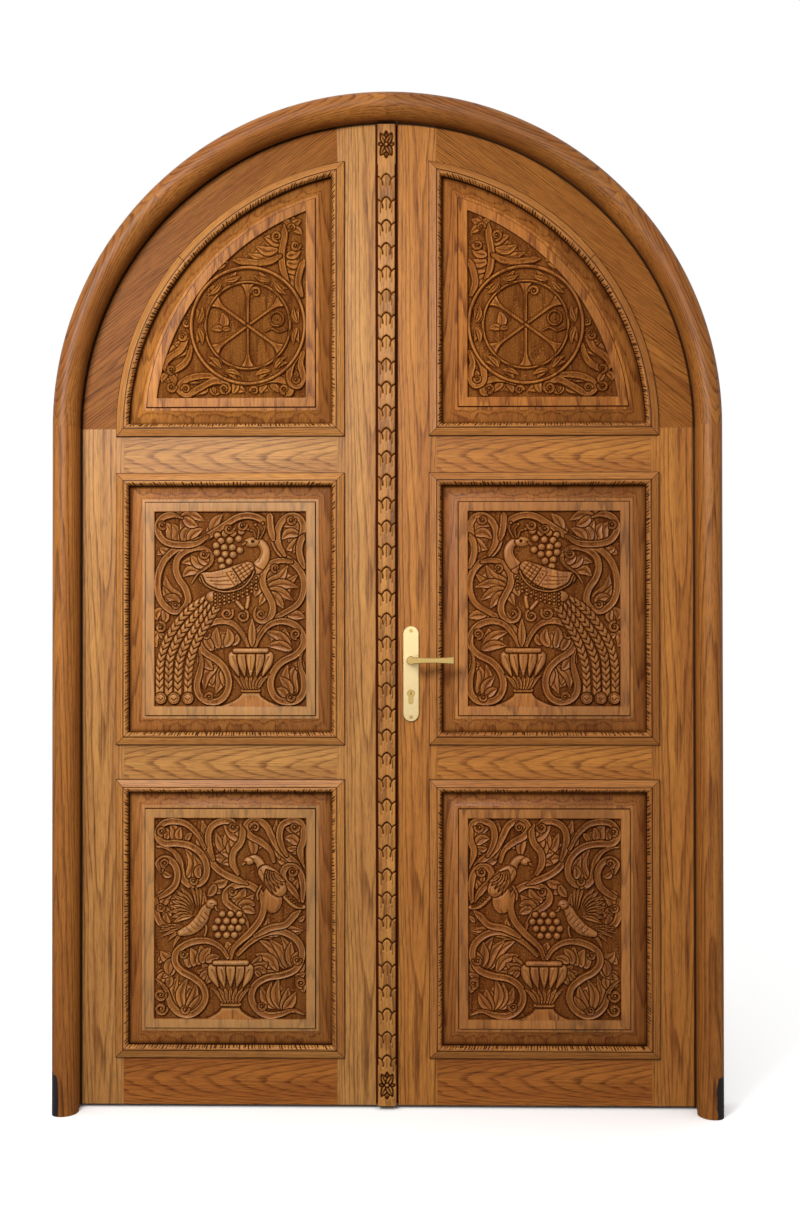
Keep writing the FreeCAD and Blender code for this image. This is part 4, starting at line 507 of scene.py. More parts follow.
    def curl(self, x, y, radius, start, turns, half=3.6, top=7.8):
        """A spiral that winds in to a round eye."""
        t = np.linspace(0, 1, 36)
        angle = np.radians(start) + turns * 2 * np.pi * t
        reach = radius * (1 - 0.75 * t)
        self.stroke([(x + r * math.cos(a), y + r * math.sin(a)) for r, a in zip(reach, angle)],
                    half, top, channelled)
        self.ball(x, y, 3.6, 8.6)

    def flared_arm(self, centre, way, reach, half=3.8, flare=15.0, top=7.6):
        """A straight arm from a centre, which opens like a trumpet towards its end."""
        x, z = self.x - centre[0], self.z - centre[1]
        along, across = x * way[0] + z * way[1], np.abs(z * way[0] - x * way[1])
        width = half + flare * np.clip((along / reach - 0.6) / 0.4, 0, 1) ** 2.4
        inside = np.where((along > 0) & (along < reach), width - across, -99)
        self.h = np.where((inside <= 0) & (inside > -self.MOAT), self.h * 0.4, self.h)
        height = top * channelled(np.clip(across / width, 0, 1), along) * smoothstep(inside / self.EDGE)
        self.h = np.where(inside > 0, height, self.h)

    def ball(self, x, y, radius, top):
        self.stroke(self.to_mm([(x, y), (x, y)]), radius, top, rounded)

    def ellipse(self, x, y, half_wide, half_high, top, form=None):
        """A rounded or flat oval, with half sizes in drawing units."""
        centre = self.to_mm((x, y))
        reach = np.hypot((self.x - centre[0]) / (half_wide * self.unit),
                         (self.z - centre[1]) / (half_high * self.unit))
        shape = (form or rounded)(np.clip(reach, 0, 1), reach)
        self.h = np.where(reach < 1, np.maximum(self.h * (reach > 0.92), top * shape), self.h)

    def stain_and_shade(self):
        """Dark in the hollows, from stain and painted shade; pale on the crests, from wear and painted
        highlight.
        """
        hollow = blurred(self.h, 12) - self.h
        low = np.clip(1 - self.h / 8.0, 0, 1)
        return np.clip(0.44 * low ** 1.2 + 0.22 * hollow + 0.08, 0.03, 1)

    def roughen_ground(self, seed):
        """Small tool marks where the ground is bare."""
        marks = blurred(np.random.default_rng(seed).normal(size=self.h.shape), 1)
        self.h = np.clip(self.h + 1.1 * marks * (self.h < 1.0), 0, 8.6)


# Cross-sections of carved forms: across runs from 0 in the middle to 1 at the edge

def channelled(across, along):
    return 0.60 + 0.40 * smoothstep((across - 0.25) / 0.4)


def scooped(across, along):
    vein = 0.22 * np.clip(1 - across / 0.16, 0, 1)
    return (0.46 + 0.54 * across ** 0.8 - vein) * (1 - 0.12 * along)


def rounded(across, along):
    return np.sqrt(np.clip(1 - across ** 2, 0, 1))


def plain(across, along):
    return np.ones_like(across)


def domed(across, along):
    return 1 - 0.45 * across ** 2


def leaf_shape(share):
    return 0.12 + 0.88 * np.sin(np.pi * np.clip(share, 0, 1) ** 0.8)


def stem_shape(share):
    return np.clip(0.6 + 2 * share, 0, 1) * np.clip(0.25 + 5 * (1 - share), 0, 1)


def flute_shape(share):
    return 0.75 + 0.25 * np.cos(np.pi * (share - 0.1)) - 0.3 * share ** 3


# Motifs

PLUME_HALF = 10.0         # in mm
BARB_STEP = 15            # steps of about a millimetre between the barbs of a plume
MOUND_TOP = 142.5         # on the sheet, as is the next
EYE_Y = 146.3             # eyes at the end of the peacock's tail


def draw_scrolls(relief, stems, fans, curls):
    for fan in fans:
        relief.fan(*fan)
    for stem in stems:
        relief.stem(stem)
    for curl in curls:
        relief.curl(*curl)


def draw_grapes(relief, grapes, radius):
    for x, y in grapes:
        relief.ball(x, y, radius, 8.4)


def draw_urn(relief, urn):
    """A fluted bowl with a rim, a calyx of leaves, a foot and a plain mound below."""
    middle, rim_top, bowl_top, bowl_foot, rim, bowl = urn
    x = (relief.x - relief.shift[0]) / relief.scale[0]
    y = (relief.z - relief.shift[1]) / relief.scale[1]
    flare = 6.5 + 13.5 * np.clip((y - MOUND_TOP) / 9, 0, 1.2) ** 1.8
    relief.h = np.where((np.abs(x - middle) < flare) & (y > MOUND_TOP), 8.2, relief.h)
    relief.stroke(((middle - 6, 140.5), (middle + 6, 140.5)), 5.0, 7.4, domed)
    for i in range(-3, 4):
        relief.lobe((middle + 1.6 * i, 140), (middle + 4.6 * i, 127 + 0.5 * abs(i)), -0.03 * i, 5.2, 7.6)
    for i in (-2, 2, -1, 1, 0):
        top_x, foot_x = middle + i * bowl * 0.39, middle + i * 4.3
        relief.stroke(((top_x, bowl_top + 0.8 + 0.6 * abs(i)), (top_x * 0.8 + foot_x * 0.2, bowl_top + 8),
                       (foot_x, bowl_foot)), 11.5, 8.6, domed, flute_shape)
        relief.cut(((top_x, bowl_top + 2.5), (foot_x, bowl_foot - 4)), 2.2, 2.4)
    relief.stroke(((middle - rim, rim_top + 2), (middle + rim, rim_top + 2)), 6.6, 8.6, domed)


def draw_plume(relief, points):
    """A braided tail feather: a ribbon cut into slanted barbs on both sides of its rib."""
    path = relief.curve(points)
    relief.stroke(path, PLUME_HALF, 7.2, domed)
    for at in range(4, len(path) - 8, BARB_STEP):
        way = (path[at + 7] - path[at]) / np.hypot(*(path[at + 7] - path[at]))
        side = np.array([-way[1], way[0]])
        for hand in (-1, 1):
            barb = np.linspace(path[at] + way * 7, path[at] + side * hand * (PLUME_HALF + 1) - way * 5, 14)
            relief.groove(barb, 2.3, 5.0)
    relief.groove(path, 1.5, 2.0)


def draw_peacock(relief):
    """A peacock at the left of the urn, with its tail hanging down to three round eyes."""
    for points in (((45, 71), (33, 78), (22, 90), (13, 106), (9.3, 122), (9.0, 142)),
                   ((47, 73), (34, 86), (24, 99), (17.5, 113), (15.8, 126), (15.6, 142)),
                   ((49, 75), (38, 90), (29, 104), (24, 117), (22.6, 130), (22.4, 142)),
                   ((52, 76), (43, 91), (36, 104), (31.5, 118), (30, 130), (29.8, 142))):
        draw_plume(relief, points)
    for x in (9.8, 19.6, 29.8):
        relief.stroke(relief.to_mm([(x, EYE_Y), (x, EYE_Y)]), 14.0, 8.0, plain)
        relief.cut(circle(x, EYE_Y, 3.1, 24), 1.6, 3.0)
        relief.cut(((x - 1.6, 146.2), (x, 147.8), (x + 1.6, 146.2)), 1.8, 4.0)
    # legs, belly and rump under the wing
    relief.stroke(((62, 67), (66, 74), (70, 79)), 5.0, 6.0, domed)
    relief.stroke(((72, 64), (74, 71), (73, 78)), 5.0, 6.0, domed)
    relief.stroke(((47, 70), (58, 68), (70, 63), (80, 55)), 17.0, 7.2, domed,
                  lambda t: 0.55 + 0.45 * np.sin(np.pi * np.clip(t + 0.15, 0, 1)))
    for row in range(4):
        for i in range(10):
            t = i / 9
            relief.ball(50 + 30 * t, 68 - 12 * t ** 1.6 + 2.7 * row, 4.0, 7.6 - 0.3 * row)
    # neck, head, beak and crest
    relief.stroke(((77, 28.5), (83, 29.5), (86.5, 35), (85.5, 42), (80.5, 48.5)), 14.5, 8.4, domed,
                  lambda t: 0.55 + 0.5 * t)
    relief.ellipse(77, 29, 6.2, 3.8, 8.6)
    relief.lobe((73, 29), (69, 32.5), 0.1, 3.4, 7.4)
    relief.ball(77.5, 28.6, 2.2, 8.6)
    for stalk, berry in ((((80, 26), (78, 21), (75, 20)), (74, 19.5)),
                         (((81, 26), (82, 20), (80, 17)), (79.5, 16)),
                         (((83, 26), (86, 20), (85.5, 16)), (85, 15))):
        relief.stroke(stalk, 2.6, 7.0, domed)
        relief.ball(*berry, 4.2, 8.0)
    for x, y in ((60, 19), (69.5, 16.5)):
        relief.curl(x, y, 3.6, 0, 1.1)
    # wing: quills, zigzag band, lattice and rim
    relief.stroke(((42, 56), (50, 57.5), (60, 56), (68, 52), (74, 48)), 24.0, 8.4, plain,
                  lambda t: 0.35 + 0.65 * np.sin(np.pi * np.clip(0.12 + 0.75 * t, 0, 1)))
    for drop in (0, 2.6, 5.0):
        relief.cut(((44 + drop, 55.5 + drop), (52, 55.5 + 1.1 * drop), (59 + 0.6 * drop, 54.5 + 1.3 * drop)),
                   1.8, 2.6)
    for x in (58, 62.5):
        relief.cut(((x, 52 - 0.8 * (x - 58)), (x + 8, 64 - 0.8 * (x - 58))), 1.8, 3.4)
    for i in range(5):
        x, y = 60 + 1.6 * i, 51.5 + 2.4 * i
        relief.cut(((x, y), (x + 2.4, y - 0.6), (x + 1.6, y + 2.4)), 1.4, 2.6)
    for i in range(5):
        relief.cut(((63 + 2.9 * i, 49 - 1.4 * i), (70 + 2.4 * i, 60 - 2.6 * i)), 1.7, 3.2)
        relief.cut(((64 + 1.7 * i, 49.5 + 2.2 * i), (74 + 1.3 * i, 43 + 2.4 * i)), 1.7, 3.2)
    relief.stroke(((39.5, 54.5), (43, 61), (52, 65.5), (61, 66), (70, 63), (76, 56.5), (78.5, 51)),
                  3.2, 8.6, rounded)
    relief.cut(((76, 44), (80, 47.5), (84.5, 50)), 2.2, 4.0)
    relief.cut(((83, 32), (84.5, 37), (81.5, 44)), 1.8, 2.0)


def draw_bottom_birds(relief):
    """A bird with raised wings at the grapes, and a long-necked one with a beaded tail above it."""
    # wings, tail, leg, body, head and beak of the first
    for turn in np.radians(np.linspace(28, 128, 8)):
        relief.lobe((34 - 2 * math.sin(turn), 76 - 3 * math.cos(turn)),
                    (31 - 15.5 * math.sin(turn), 72.5 - 17 * math.cos(turn)), 0.08, 7.0, 7.8)
    for i in range(4):
        relief.lobe((36.5 + i, 74), (31 + 3 * i, 57.5 - 1.6 * i + 0.9 * i * i), 0.08, 6.4, 7.6)
    for tip in ((8, 86), (7.5, 90), (9, 94), (14, 97), (18, 102)):
        relief.lobe((28, 87), tip, 0.08, 4.8, 7.2)
    relief.stroke(((38, 80), (42, 86), (41, 92)), 3.4, 6.6, domed)
    relief.stroke(((24, 90), (32, 87), (38.5, 80.5), (41.5, 74), (44.5, 70)), 15.0, 8.4, domed,
                  lambda t: 0.35 + 0.65 * np.sin(np.pi * np.clip(0.1 + 0.78 * t, 0, 1)))
    relief.ellipse(45.5, 69.5, 4.2, 3.6, 8.6)
    relief.lobe((48, 70.5), (51.5, 75), 0.15, 3.4, 7.8)
    for i in range(6):
        relief.cut(((28 + 2.6 * i, 86 - 2.2 * i), (32 + 2.4 * i, 89.5 - 2.2 * i)), 1.6, 2.6)
    relief.cut(((45, 69), (46.5, 69)), 1.8, 3.4)
    # thigh, tail, leg, neck, head, beak, body and wing of the second
    relief.ellipse(88.0, 66.0, 6.8, 9.6, 7.4, domed)
    relief.stroke(((93, 56), (95, 61), (98, 66), (104, 71), (110, 71.5)), 5.6, 7.4, domed)
    for i in range(9):
        t = i / 8
        relief.ball(95 + 13 * t, 60 + 11 * math.sin(1.4 * t), 2.6, 8.2)
    relief.stroke(((80, 57), (77.5, 62), (78, 66)), 3.4, 6.8, domed)
    relief.stroke(((87, 53), (81.5, 46), (79, 40), (75.5, 37), (71.5, 38.5)), 11.5, 8.2, domed,
                  lambda t: 1.25 - 0.6 * t)
    relief.ellipse(71.8, 39.0, 3.8, 3.0, 8.6)
    relief.lobe((70, 40), (66.5, 43.5), 0.15, 3.2, 7.6)
    relief.stroke(((83, 47), (87.5, 51.5), (93, 59)), 22.0, 8.4, domed,
                  lambda t: 0.8 + 0.2 * np.sin(np.pi * t))
    for i in range(5):
        relief.lobe((84 + 1.2 * i, 45 + 0.4 * i), (88 + 2.4 * i, 62.5 - 2.2 * i), 0.1, 5.0, 8.6)
    relief.cut(((80, 45), (82.5, 50), (86, 53)), 1.8, 3.0)


def draw_roundel(relief, centre):
    """Two rings round a six-armed cross, with leaf curls between them."""
    x, y = centre
    outer, inner = 45.2, 33.8
    for arm in range(6):
        lean = 0.0 if arm % 3 == 0 else math.radians(6) * (1 if arm % 3 == 2 else -1)
        angle = math.pi / 2 + arm * math.pi / 3 + lean
        relief.flared_arm(relief.to_mm((x, y)), (math.cos(angle), -math.sin(angle)), inner * relief.unit)
    for radius, half in ((outer, 4.4), (inner, 3.4)):
        relief.stroke(circle(x, y, radius, 120), half, 8.4, domed)
    relief.curl(x + 6.5, y - 26, 4.0, 180, 1.2)
    # leaf sprig on one side, ring and wave on the other
    sprig = (x - 20, y + 3)
    relief.fan(sprig, sprig, ((x - 20.5, y - 10), (x - 29, y + 3), (x - 13.5, y + 3)), 0.08)
    relief.stroke(circle(x + 23, y - 5, 5.4, 120)[::4], 2.6, 7.6, domed)
    relief.ball(x + 23, y - 5, 3.2, 7.0)
    relief.stroke(((x + 14, y + 4.5), (x + 19, y + 2.5), (x + 25, y + 5), (x + 31, y + 3)), 2.6, 7.2, domed)
    between = (outer + inner) / 2
    for i in range(6):
        middle = (i + 1) * math.pi / 3
        for hand in (-1, 1):
            a = middle + hand * 0.04
            start = (x + between * math.cos(a), y + between * math.sin(a))
            for lift, reach in ((-3.6, 0.30), (3.6, 0.32), (0, 0.40)):
                b = middle + hand * reach
                tip = (x + (between + lift) * math.cos(b), y + (between + lift) * math.sin(b))
                relief.lobe(start, tip, 0.1 * hand, 6.6, 7.6)


# Panels

def opening_of(side, kind):
    """Opening edges of a panel in metres: inner and outer |x|, lowest and highest z."""
    low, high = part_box(f"{side}_{kind}_moulding")
    lap = MOULDING_LAP * MM
    inner, outer = sorted((abs(low.x), abs(high.x)))
    return inner + lap, outer - lap, low.z + lap, high.z - lap


PANEL_TUCK = 6.0          # how far the panel's edge lies behind the opening edge, in mm
PANEL_BACK_Y = 3.0
PANEL_BACK_BEVEL = ((56.0, 11.0), (22.0, 3.0))     # inset and depth of the raised back
COVE_FLATS = 8
FOLD = 2.0                # narrow strip beside a sharp step, where stain gathers and the step's shade is painted
MOULDING_LAP = 18.0       # moulding on the frame of the leaf, outside the opening


def panel_section():
    """Outline of a panel from its raised back round the edge to the sunk ground: inset, depth, and darkness
    from stain and painted shade.
    """
    s = sizes()
    cove, rise, edge_y = s.cove_width / MM, s.cove_rise / MM, s.panel_edge_y / MM
    section = [(inset, depth, 0.1) for inset, depth in PANEL_BACK_BEVEL]
    # painted shade: the border beside the moulding is darkened, and so is the hollow, most next to the
    # moulding
    section += [(-PANEL_TUCK, PANEL_BACK_Y, 0.1), (-PANEL_TUCK, edge_y, 0.6), (BORDER, edge_y, 0.6)]
    for i in range(1, COVE_FLATS + 1):
        t = i / COVE_FLATS
        curve = (1 - math.sqrt(1 - 0.96 * t * t)) / 0.8
        section.append((BORDER + cove * t, edge_y - rise * curve, 0.38 - 0.24 * t))
    inset, flat_y = BORDER + cove, section[-1][1]
    fillet, field_y = s.fillet_width / MM, flat_y - s.field_rise / MM
    section += [(inset + 0.3, flat_y, 0.02), (inset + fillet - FOLD - 0.2, flat_y, 0.02),
                (inset + fillet - FOLD, flat_y, 1.0), (inset + fillet, flat_y, 1.0),
                (inset + fillet + 0.3, field_y, 0.02)]
    inset += fillet + s.field_band / MM
    section += [(inset - FOLD, field_y, 0.02), (inset - 0.3, field_y + 0.3, 0.2),
                (inset, field_y + s.carving_depth / MM + 2, 0.95)]
    return section


def raise_panel(side, kind, name):
    """A panel without its carving: border, hollow, flat, field and sunk ground, and a bevelled back."""
    section = panel_section()
    outline = [(inset + MOULDING_LAP, depth) for inset, depth, _ in section]
    runs = []
    for i, run in enumerate(moulding_sides(side, kind)):
        columns = ARC_COLUMNS if run[2] is not straight else 2
        piece = sweep_run(outline, run, columns, f"{name}_{i}")
        set_stain_and_shade(piece, np.repeat([stain_and_shade for _, _, stain_and_shade in section], columns + 1))
        runs.append(piece)
    piece = join(runs, name)
    edit_all(piece)
    bpy.ops.mesh.remove_doubles(threshold=DOUBLES)
    bpy.ops.mesh.fill_holes(sides=0)
    bpy.ops.object.mode_set(mode="OBJECT")
    return piece


PLATE_THICK = 0.003       # wood behind a carved ground


def carved_plate(relief, stain_and_shade, corner, mirrored, keep, name):
    """A closed plate with the relief on its front. The corner is the low left one of its ground, in metres;
    only the faces whose middle passes the test keep, if there is one, stay."""
    left, floor_y, low = corner
    bpy.ops.mesh.primitive_grid_add(x_subdivisions=relief.across, y_subdivisions=relief.up, size=2)
    plate = take(name)
    x, z = relief.x.ravel() * MM, relief.z.ravel() * MM
    hand = -1 if mirrored else 1
    places = np.column_stack([hand * (left + x), floor_y - relief.h.ravel() * MM, low + z])
    place_vertices(plate, places)
    set_stain_and_shade(plate, stain_and_shade.ravel())
    if keep:
        select_faces(plate, lambda middle: not keep(middle))
        bpy.ops.mesh.delete(type="FACE")
        bpy.ops.object.mode_set(mode="OBJECT")
    make_active(plate)
    bpy.ops.object.mode_set(mode="EDIT")
    bpy.ops.mesh.select_mode(type="EDGE")
    bpy.ops.mesh.select_all(action="DESELECT")
    bpy.ops.mesh.select_non_manifold()
    bpy.ops.mesh.extrude_edges_move()
    bpy.ops.transform.resize(value=(1, 0, 1), center_override=(0, floor_y + PLATE_THICK, 0))
    bpy.ops.mesh.edge_face_add()
    bpy.ops.object.mode_set(mode="OBJECT")
    return plate


def finish_panel(rim, plate, side, kind, material):
    piece = join([rim, plate], f"{side}_{kind}_carved_panel")
    turn_outward(piece, 0.75)
    give(piece, material)
    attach(piece, f"{side}_leaf")
    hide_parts(f"{side}_{kind}_panel")


def ground_inset():
    """From a panel's opening edge to its carved ground."""
    s = sizes()
    return BORDER * MM + s.cove_width + s.fillet_width + s.field_band


def square_ground(kind, sheet, draw, seed):
    """The relief of a square panel, with the left and low edges of its ground on the left leaf."""
    inner, outer, low, high = opening_of("left", kind)
    edge = ground_inset()
    wide, tall = outer - inner - 2 * edge, high - low - 2 * edge
    relief = Relief(wide / MM, tall / MM, sizes().carving_cell / MM, sheet)
    draw(relief)
    relief.roughen_ground(seed)
    return relief, -(outer - edge), low + edge


def floor_place():
    """Depth of the carved grounds."""
    s = sizes()
    return s.panel_edge_y - s.cove_rise - s.field_rise + s.carving_depth


def draw_middle(relief):
    draw_scrolls(relief, MIDDLE_STEMS, MIDDLE_FANS, MIDDLE_CURLS)
    relief.lobe((77, 108), (77, 86), 0.0, 10.0, 8.0)
    draw_grapes(relief, MIDDLE_GRAPES, 9.0)
    draw_peacock(relief)
    draw_urn(relief, MIDDLE_URN)


def draw_bottom(relief):
    draw_scrolls(relief, BOTTOM_STEMS, BOTTOM_FANS, BOTTOM_CURLS)
    draw_grapes(relief, BOTTOM_GRAPES, 8.6)
    draw_bottom_birds(relief)
    draw_urn(relief, BOTTOM_URN)


class DOOR_OT_square_panels(bpy.types.Operator):
    """Makes the four square panels with their carved grounds"""
    bl_idname = "door.square_panels"
    bl_label = "Square carved panels"

    def execute(self, context):
        wood = {side: carved_oak(f"Carved oak {side} panel", CARVED_TONE[side], WEAR_AND_SHEEN[side])
                for side, _ in LEAVES}
        for kind, sheet, draw, seed in (("middle", MIDDLE_SHEET, draw_middle, 3),
                                        ("bottom", BOTTOM_SHEET, draw_bottom, 5)):
            relief, left, low = square_ground(kind, sheet, draw, seed)
            stain_and_shade, corner = relief.stain_and_shade(), (left, floor_place(), low)
            for side, hand in LEAVES:
                rim = raise_panel(side, kind, f"{side}_{kind}_rim")
                plate = carved_plate(relief, stain_and_shade, corner, hand > 0, None, f"{side}_{kind}_ground")
                finish_panel(rim, plate, side, kind, wood[side])
        return {"FINISHED"}


ARC_OVERLAP = 0.0015      # how far the arched grounds reach in under the field


class DOOR_OT_arched_panels(bpy.types.Operator):
    """Makes the two arched panels with their carved grounds"""
    bl_idname = "door.arched_panels"
    bl_label = "Arched carved panels"

    def execute(self, context):
        inner, radius, low, _ = opening_of("left", "arched")
        edge = ground_inset()
        reach, near = radius - edge, inner + edge
        wide, high = math.sqrt(reach ** 2 - edge ** 2) - near, math.sqrt(reach ** 2 - near ** 2) - edge
        corner = (-(near + wide), floor_place(), low + edge)

        def keep(middle):
            return math.hypot(middle.x, middle.z - low) < reach + ARC_OVERLAP
        for side, hand in LEAVES:
            relief = Relief(wide / MM, high / MM, sizes().carving_cell / MM, ARCH_SHEET)
            draw_scrolls(relief, ARCH_STEMS, ARCH_FANS, ARCH_CURLS)
            ring_x = ARCH_RING[0]
            if hand > 0:      # the cross keeps its way round on both leaves
                relief.h = relief.h[:, ::-1].copy()
                ring_x = ARCH_SHEET[0] + ARCH_SHEET[2] - ring_x
            draw_roundel(relief, (ring_x, ARCH_RING[1]))
            if hand > 0:
                relief.h = relief.h[:, ::-1].copy()
            relief.roughen_ground(7)
            rim = raise_panel(side, "arched", f"{side}_arched_rim")
            plate = carved_plate(relief, relief.stain_and_shade(), corner, hand > 0, keep, f"{side}_arched_ground")
            wood = carved_oak(f"Carved oak {side} arched panel", ARCHED_TONE[side], 0.0, gloss=0.09)
            finish_panel(rim, plate, side, "arched", wood)
        return {"FINISHED"}


# Mouldings round the openings

MOULDING_SECTION = (      # distance in from the outer edge, height in front of the leaf, both in mm
    (0, -0.5), (0, 4.2), (0.6, 5.5), (2, 6), (9, 8.9), (16.2, 11.8), (17, 11.9), (17.5, 10.2), (18.4, 10.2),
    (19.2, 11.6), (20.8, 12.8), (22.8, 13.2), (24.8, 12.6), (26.6, 11), (28, 8.6), (29, 5.4), (29.8, 1.5),
    (30, -8.4), (18.2, -8.4), (18.2, -0.5), (0, -0.5),
)
# rows of that section: depth in mm of a nick on the bead's inner flank, the groove before it, the outer edge
NICK_ROWS = {11: 1.4, 12: 2.8, 13: 3.6, 14: 4.0, 15: 3.4, 16: 2.0}
QUIRK_ROWS, OUTER_ROWS = (7, 8), (0, 1, 2)
COLUMNS_PER_NICK = 5
MISSED_NICKS = 0.08       # share of the nicks that were left out
LEAF_FRONT_Y = -28.0      # mm
JOINT_STAIN = 0.9         # how dark a joint line is


def sweep_run(section, run, columns, name, sunk=None):
    """One side of a frame, swept between mitred ends. The section gives inset and depth in mm, and sunk
    how far each place of the grid is cut back."""
    start, finish, line, _ = run
    bpy.ops.mesh.primitive_grid_add(x_subdivisions=columns, y_subdivisions=len(section) - 1, size=2)
    piece = take(name)
    share = np.linspace(0, 1, columns + 1)
    places = []
    for row, (inset, depth) in enumerate(section):
        x, z = line(start(inset * MM), finish(inset * MM), share)
        y = np.full(columns + 1, depth * MM) + (0 if sunk is None else sunk[row] * MM)
        places.append(np.column_stack([x, y, z]))
    place_vertices(piece, np.vstack(places))
    return piece


def moulding_run(run, seed, name):
    """One side of a moulding, with gouge nicks of uneven depth and length on the bead's inner flank."""
    columns = int(run[3] / sizes().nick_pitch * COLUMNS_PER_NICK)
    chance = np.random.default_rng(seed)
    column = np.arange(columns + 1)
    count = columns // COLUMNS_PER_NICK + 1
    each = np.repeat(np.arange(count), COLUMNS_PER_NICK)[:columns + 1]
    depth = chance.uniform(0.5, 1.3, count)[each] * (chance.uniform(size=count) > MISSED_NICKS)[each]
    start, wide = chance.integers(0, 3, count)[each], chance.integers(1, 3, count)[each]
    at = column % COLUMNS_PER_NICK
    nick = np.where((at >= start) & (at < start + wide), depth, 0)
    nick[:COLUMNS_PER_NICK] = nick[-COLUMNS_PER_NICK:] = 0
    first_row = chance.integers(0, 3, count)[each] + min(NICK_ROWS)
    rows = range(len(MOULDING_SECTION))
    sunk = np.array([NICK_ROWS.get(row, 0) * nick * (row >= first_row) for row in rows])
    section = [(inset, LEAF_FRONT_Y - proud) for inset, proud in MOULDING_SECTION]
    piece = sweep_run(section, run, columns, name, sunk)
    # painted shade: the quirk, the outer edge and the bead's inner edge are darkened, and each nick the more
    # the deeper it is cut
    folds = np.full(len(rows), 0.08)
    folds[list(QUIRK_ROWS + OUTER_ROWS)] = 0.85
    folds[max(NICK_ROWS):] = 1.0
    stain_and_shade = np.maximum(folds[:, None], np.clip(1.4 * sunk, 0, 1))
    stain_and_shade[:, [0, -1]] = JOINT_STAIN        # mitre line
    if run[2] is not straight:
        stain_and_shade[:, columns // 2] = JOINT_STAIN        # butt joint of the arc
    set_stain_and_shade(piece, stain_and_shade.ravel())
    steps = [math.dist(a, b) for a, b in zip(MOULDING_SECTION, MOULDING_SECTION[1:])]
    lay_grain(piece, np.linspace(0, run[3], columns + 1), np.cumsum([0] + steps) * MM, seed)
    return piece


def lay_grain(piece, along, across, seed):
    """Unwraps a swept grid at true size, with U along the grain."""
    layer = piece.data.uv_layers.active or piece.data.uv_layers.new(name="grain")
    corner = np.empty(len(piece.data.loops), dtype=np.int64)
    piece.data.loops.foreach_get("vertex_index", corner)
    columns = len(along)
    uv = np.column_stack([along[corner % columns] + 1.7 * seed, across[corner // columns] + 0.31 * seed])
    layer.data.foreach_set("uv", uv.ravel())


ARC_TURN = 1.42           # radians from the foot of an arc to its crown


def straight(start, finish, share):
    return (start[0] + (finish[0] - start[0]) * share, start[1] + (finish[1] - start[1]) * share)


def moulding_sides(side, kind):
    """Sides of a moulding as (start, finish, line, length), clockwise on the left leaf."""
    hand = dict(LEAVES)[side]
    low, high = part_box(f"{side}_{kind}_moulding")
    inner, outer = sorted((abs(low.x), abs(high.x)))
    base, top = low.z, high.z
    if kind != "arched":
        corners = ((outer, base, -1, 1), (outer, top, -1, -1), (inner, top, 1, -1), (inner, base, 1, 1))

        def end(corner):
            x, z, dx, dz = corner
            return lambda inward: (hand * (x + dx * inward), z + dz * inward)
        return [(end(a), end(b), straight, max(abs(b[0] - a[0]), abs(b[1] - a[1])))
                for a, b in zip(corners, corners[1:] + corners[:1])]
    lap = MOULDING_LAP * MM
    spring = base + lap

    def foot(inward):       # where the arc meets the level side
        radius, rise = outer - inward, inward - lap
        return hand * math.sqrt(radius ** 2 - rise ** 2), spring + rise

    def crown(inward):      # where the arc meets the upright side
        radius, run = outer - inward, inner + inward
        return hand * run, spring + math.sqrt(radius ** 2 - run ** 2)

    def corner(inward):
        return hand * (inner + inward), base + inward

    def arc(start, finish, share):
        radius = math.hypot(start[0], start[1] - spring)
        a, b = (math.atan2(p[1] - spring, abs(p[0])) for p in (start, finish))
        angle = a + (b - a) * share
        return hand * radius * np.cos(angle), spring + radius * np.sin(angle)
    return [(foot, crown, arc, outer * ARC_TURN), (crown, corner, straight, top - base),
            (corner, foot, straight, outer - inner)]


class DOOR_OT_mouldings(bpy.types.Operator):
    """Sweeps the nicked mouldings round the six openings"""
    bl_idname = "door.mouldings"
    bl_label = "Mouldings"

    def execute(self, context):
        for side, _ in LEAVES:
            wood = moulding_oak(side)
            for number, kind in enumerate(("bottom", "middle", "arched")):
                runs = []
                for i, run in enumerate(moulding_sides(side, kind)):
                    seed = 10 * number + i + (40 if side == "right" else 0)
                    runs.append(moulding_run(run, seed, f"{side}_{kind}_run_{i}"))
                piece = join(runs, f"{side}_{kind}_nicked_moulding")
                turn_outward(piece, 0.8, DOUBLES)
                give(piece, wood)
                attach(piece, f"{side}_leaf")
                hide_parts(f"{side}_{kind}_moulding")
        return {"FINISHED"}


# Centre strip

LEAF_LINES = (            # cuts of one leaf on the strip, beside and below its tip, in mm; half width, depth
    (((0, 0.4), (5, -1.8), (8.6, -5.4), (11, -9.5)), 2.7, 5.0),
    (((21, -5.5), (16, -8.4), (11.8, -13), (9.6, -19), (9, -25)), 2.7, 4.8),
    (((14.5, -16), (14, -36)), 1.7, 2.6),
)
ROSETTE = (               # petals of the rosette: start and tip from its middle, half width, all in mm
    ((0, 14), (0, 30), 3.6), ((0, -14), (0, -31), 4.4), ((-9, 0), (-17.5, 1), 3.4), ((9, 0), (17.5, 1), 3.4),
    ((0, 0), (-12.5, -24.5), 6.8), ((0, 0), (-12.5, 24.5), 6.8), ((0, 0), (12.5, -24.5), 6.8),
    ((0, 0), (12.5, 24.5), 6.8),
)


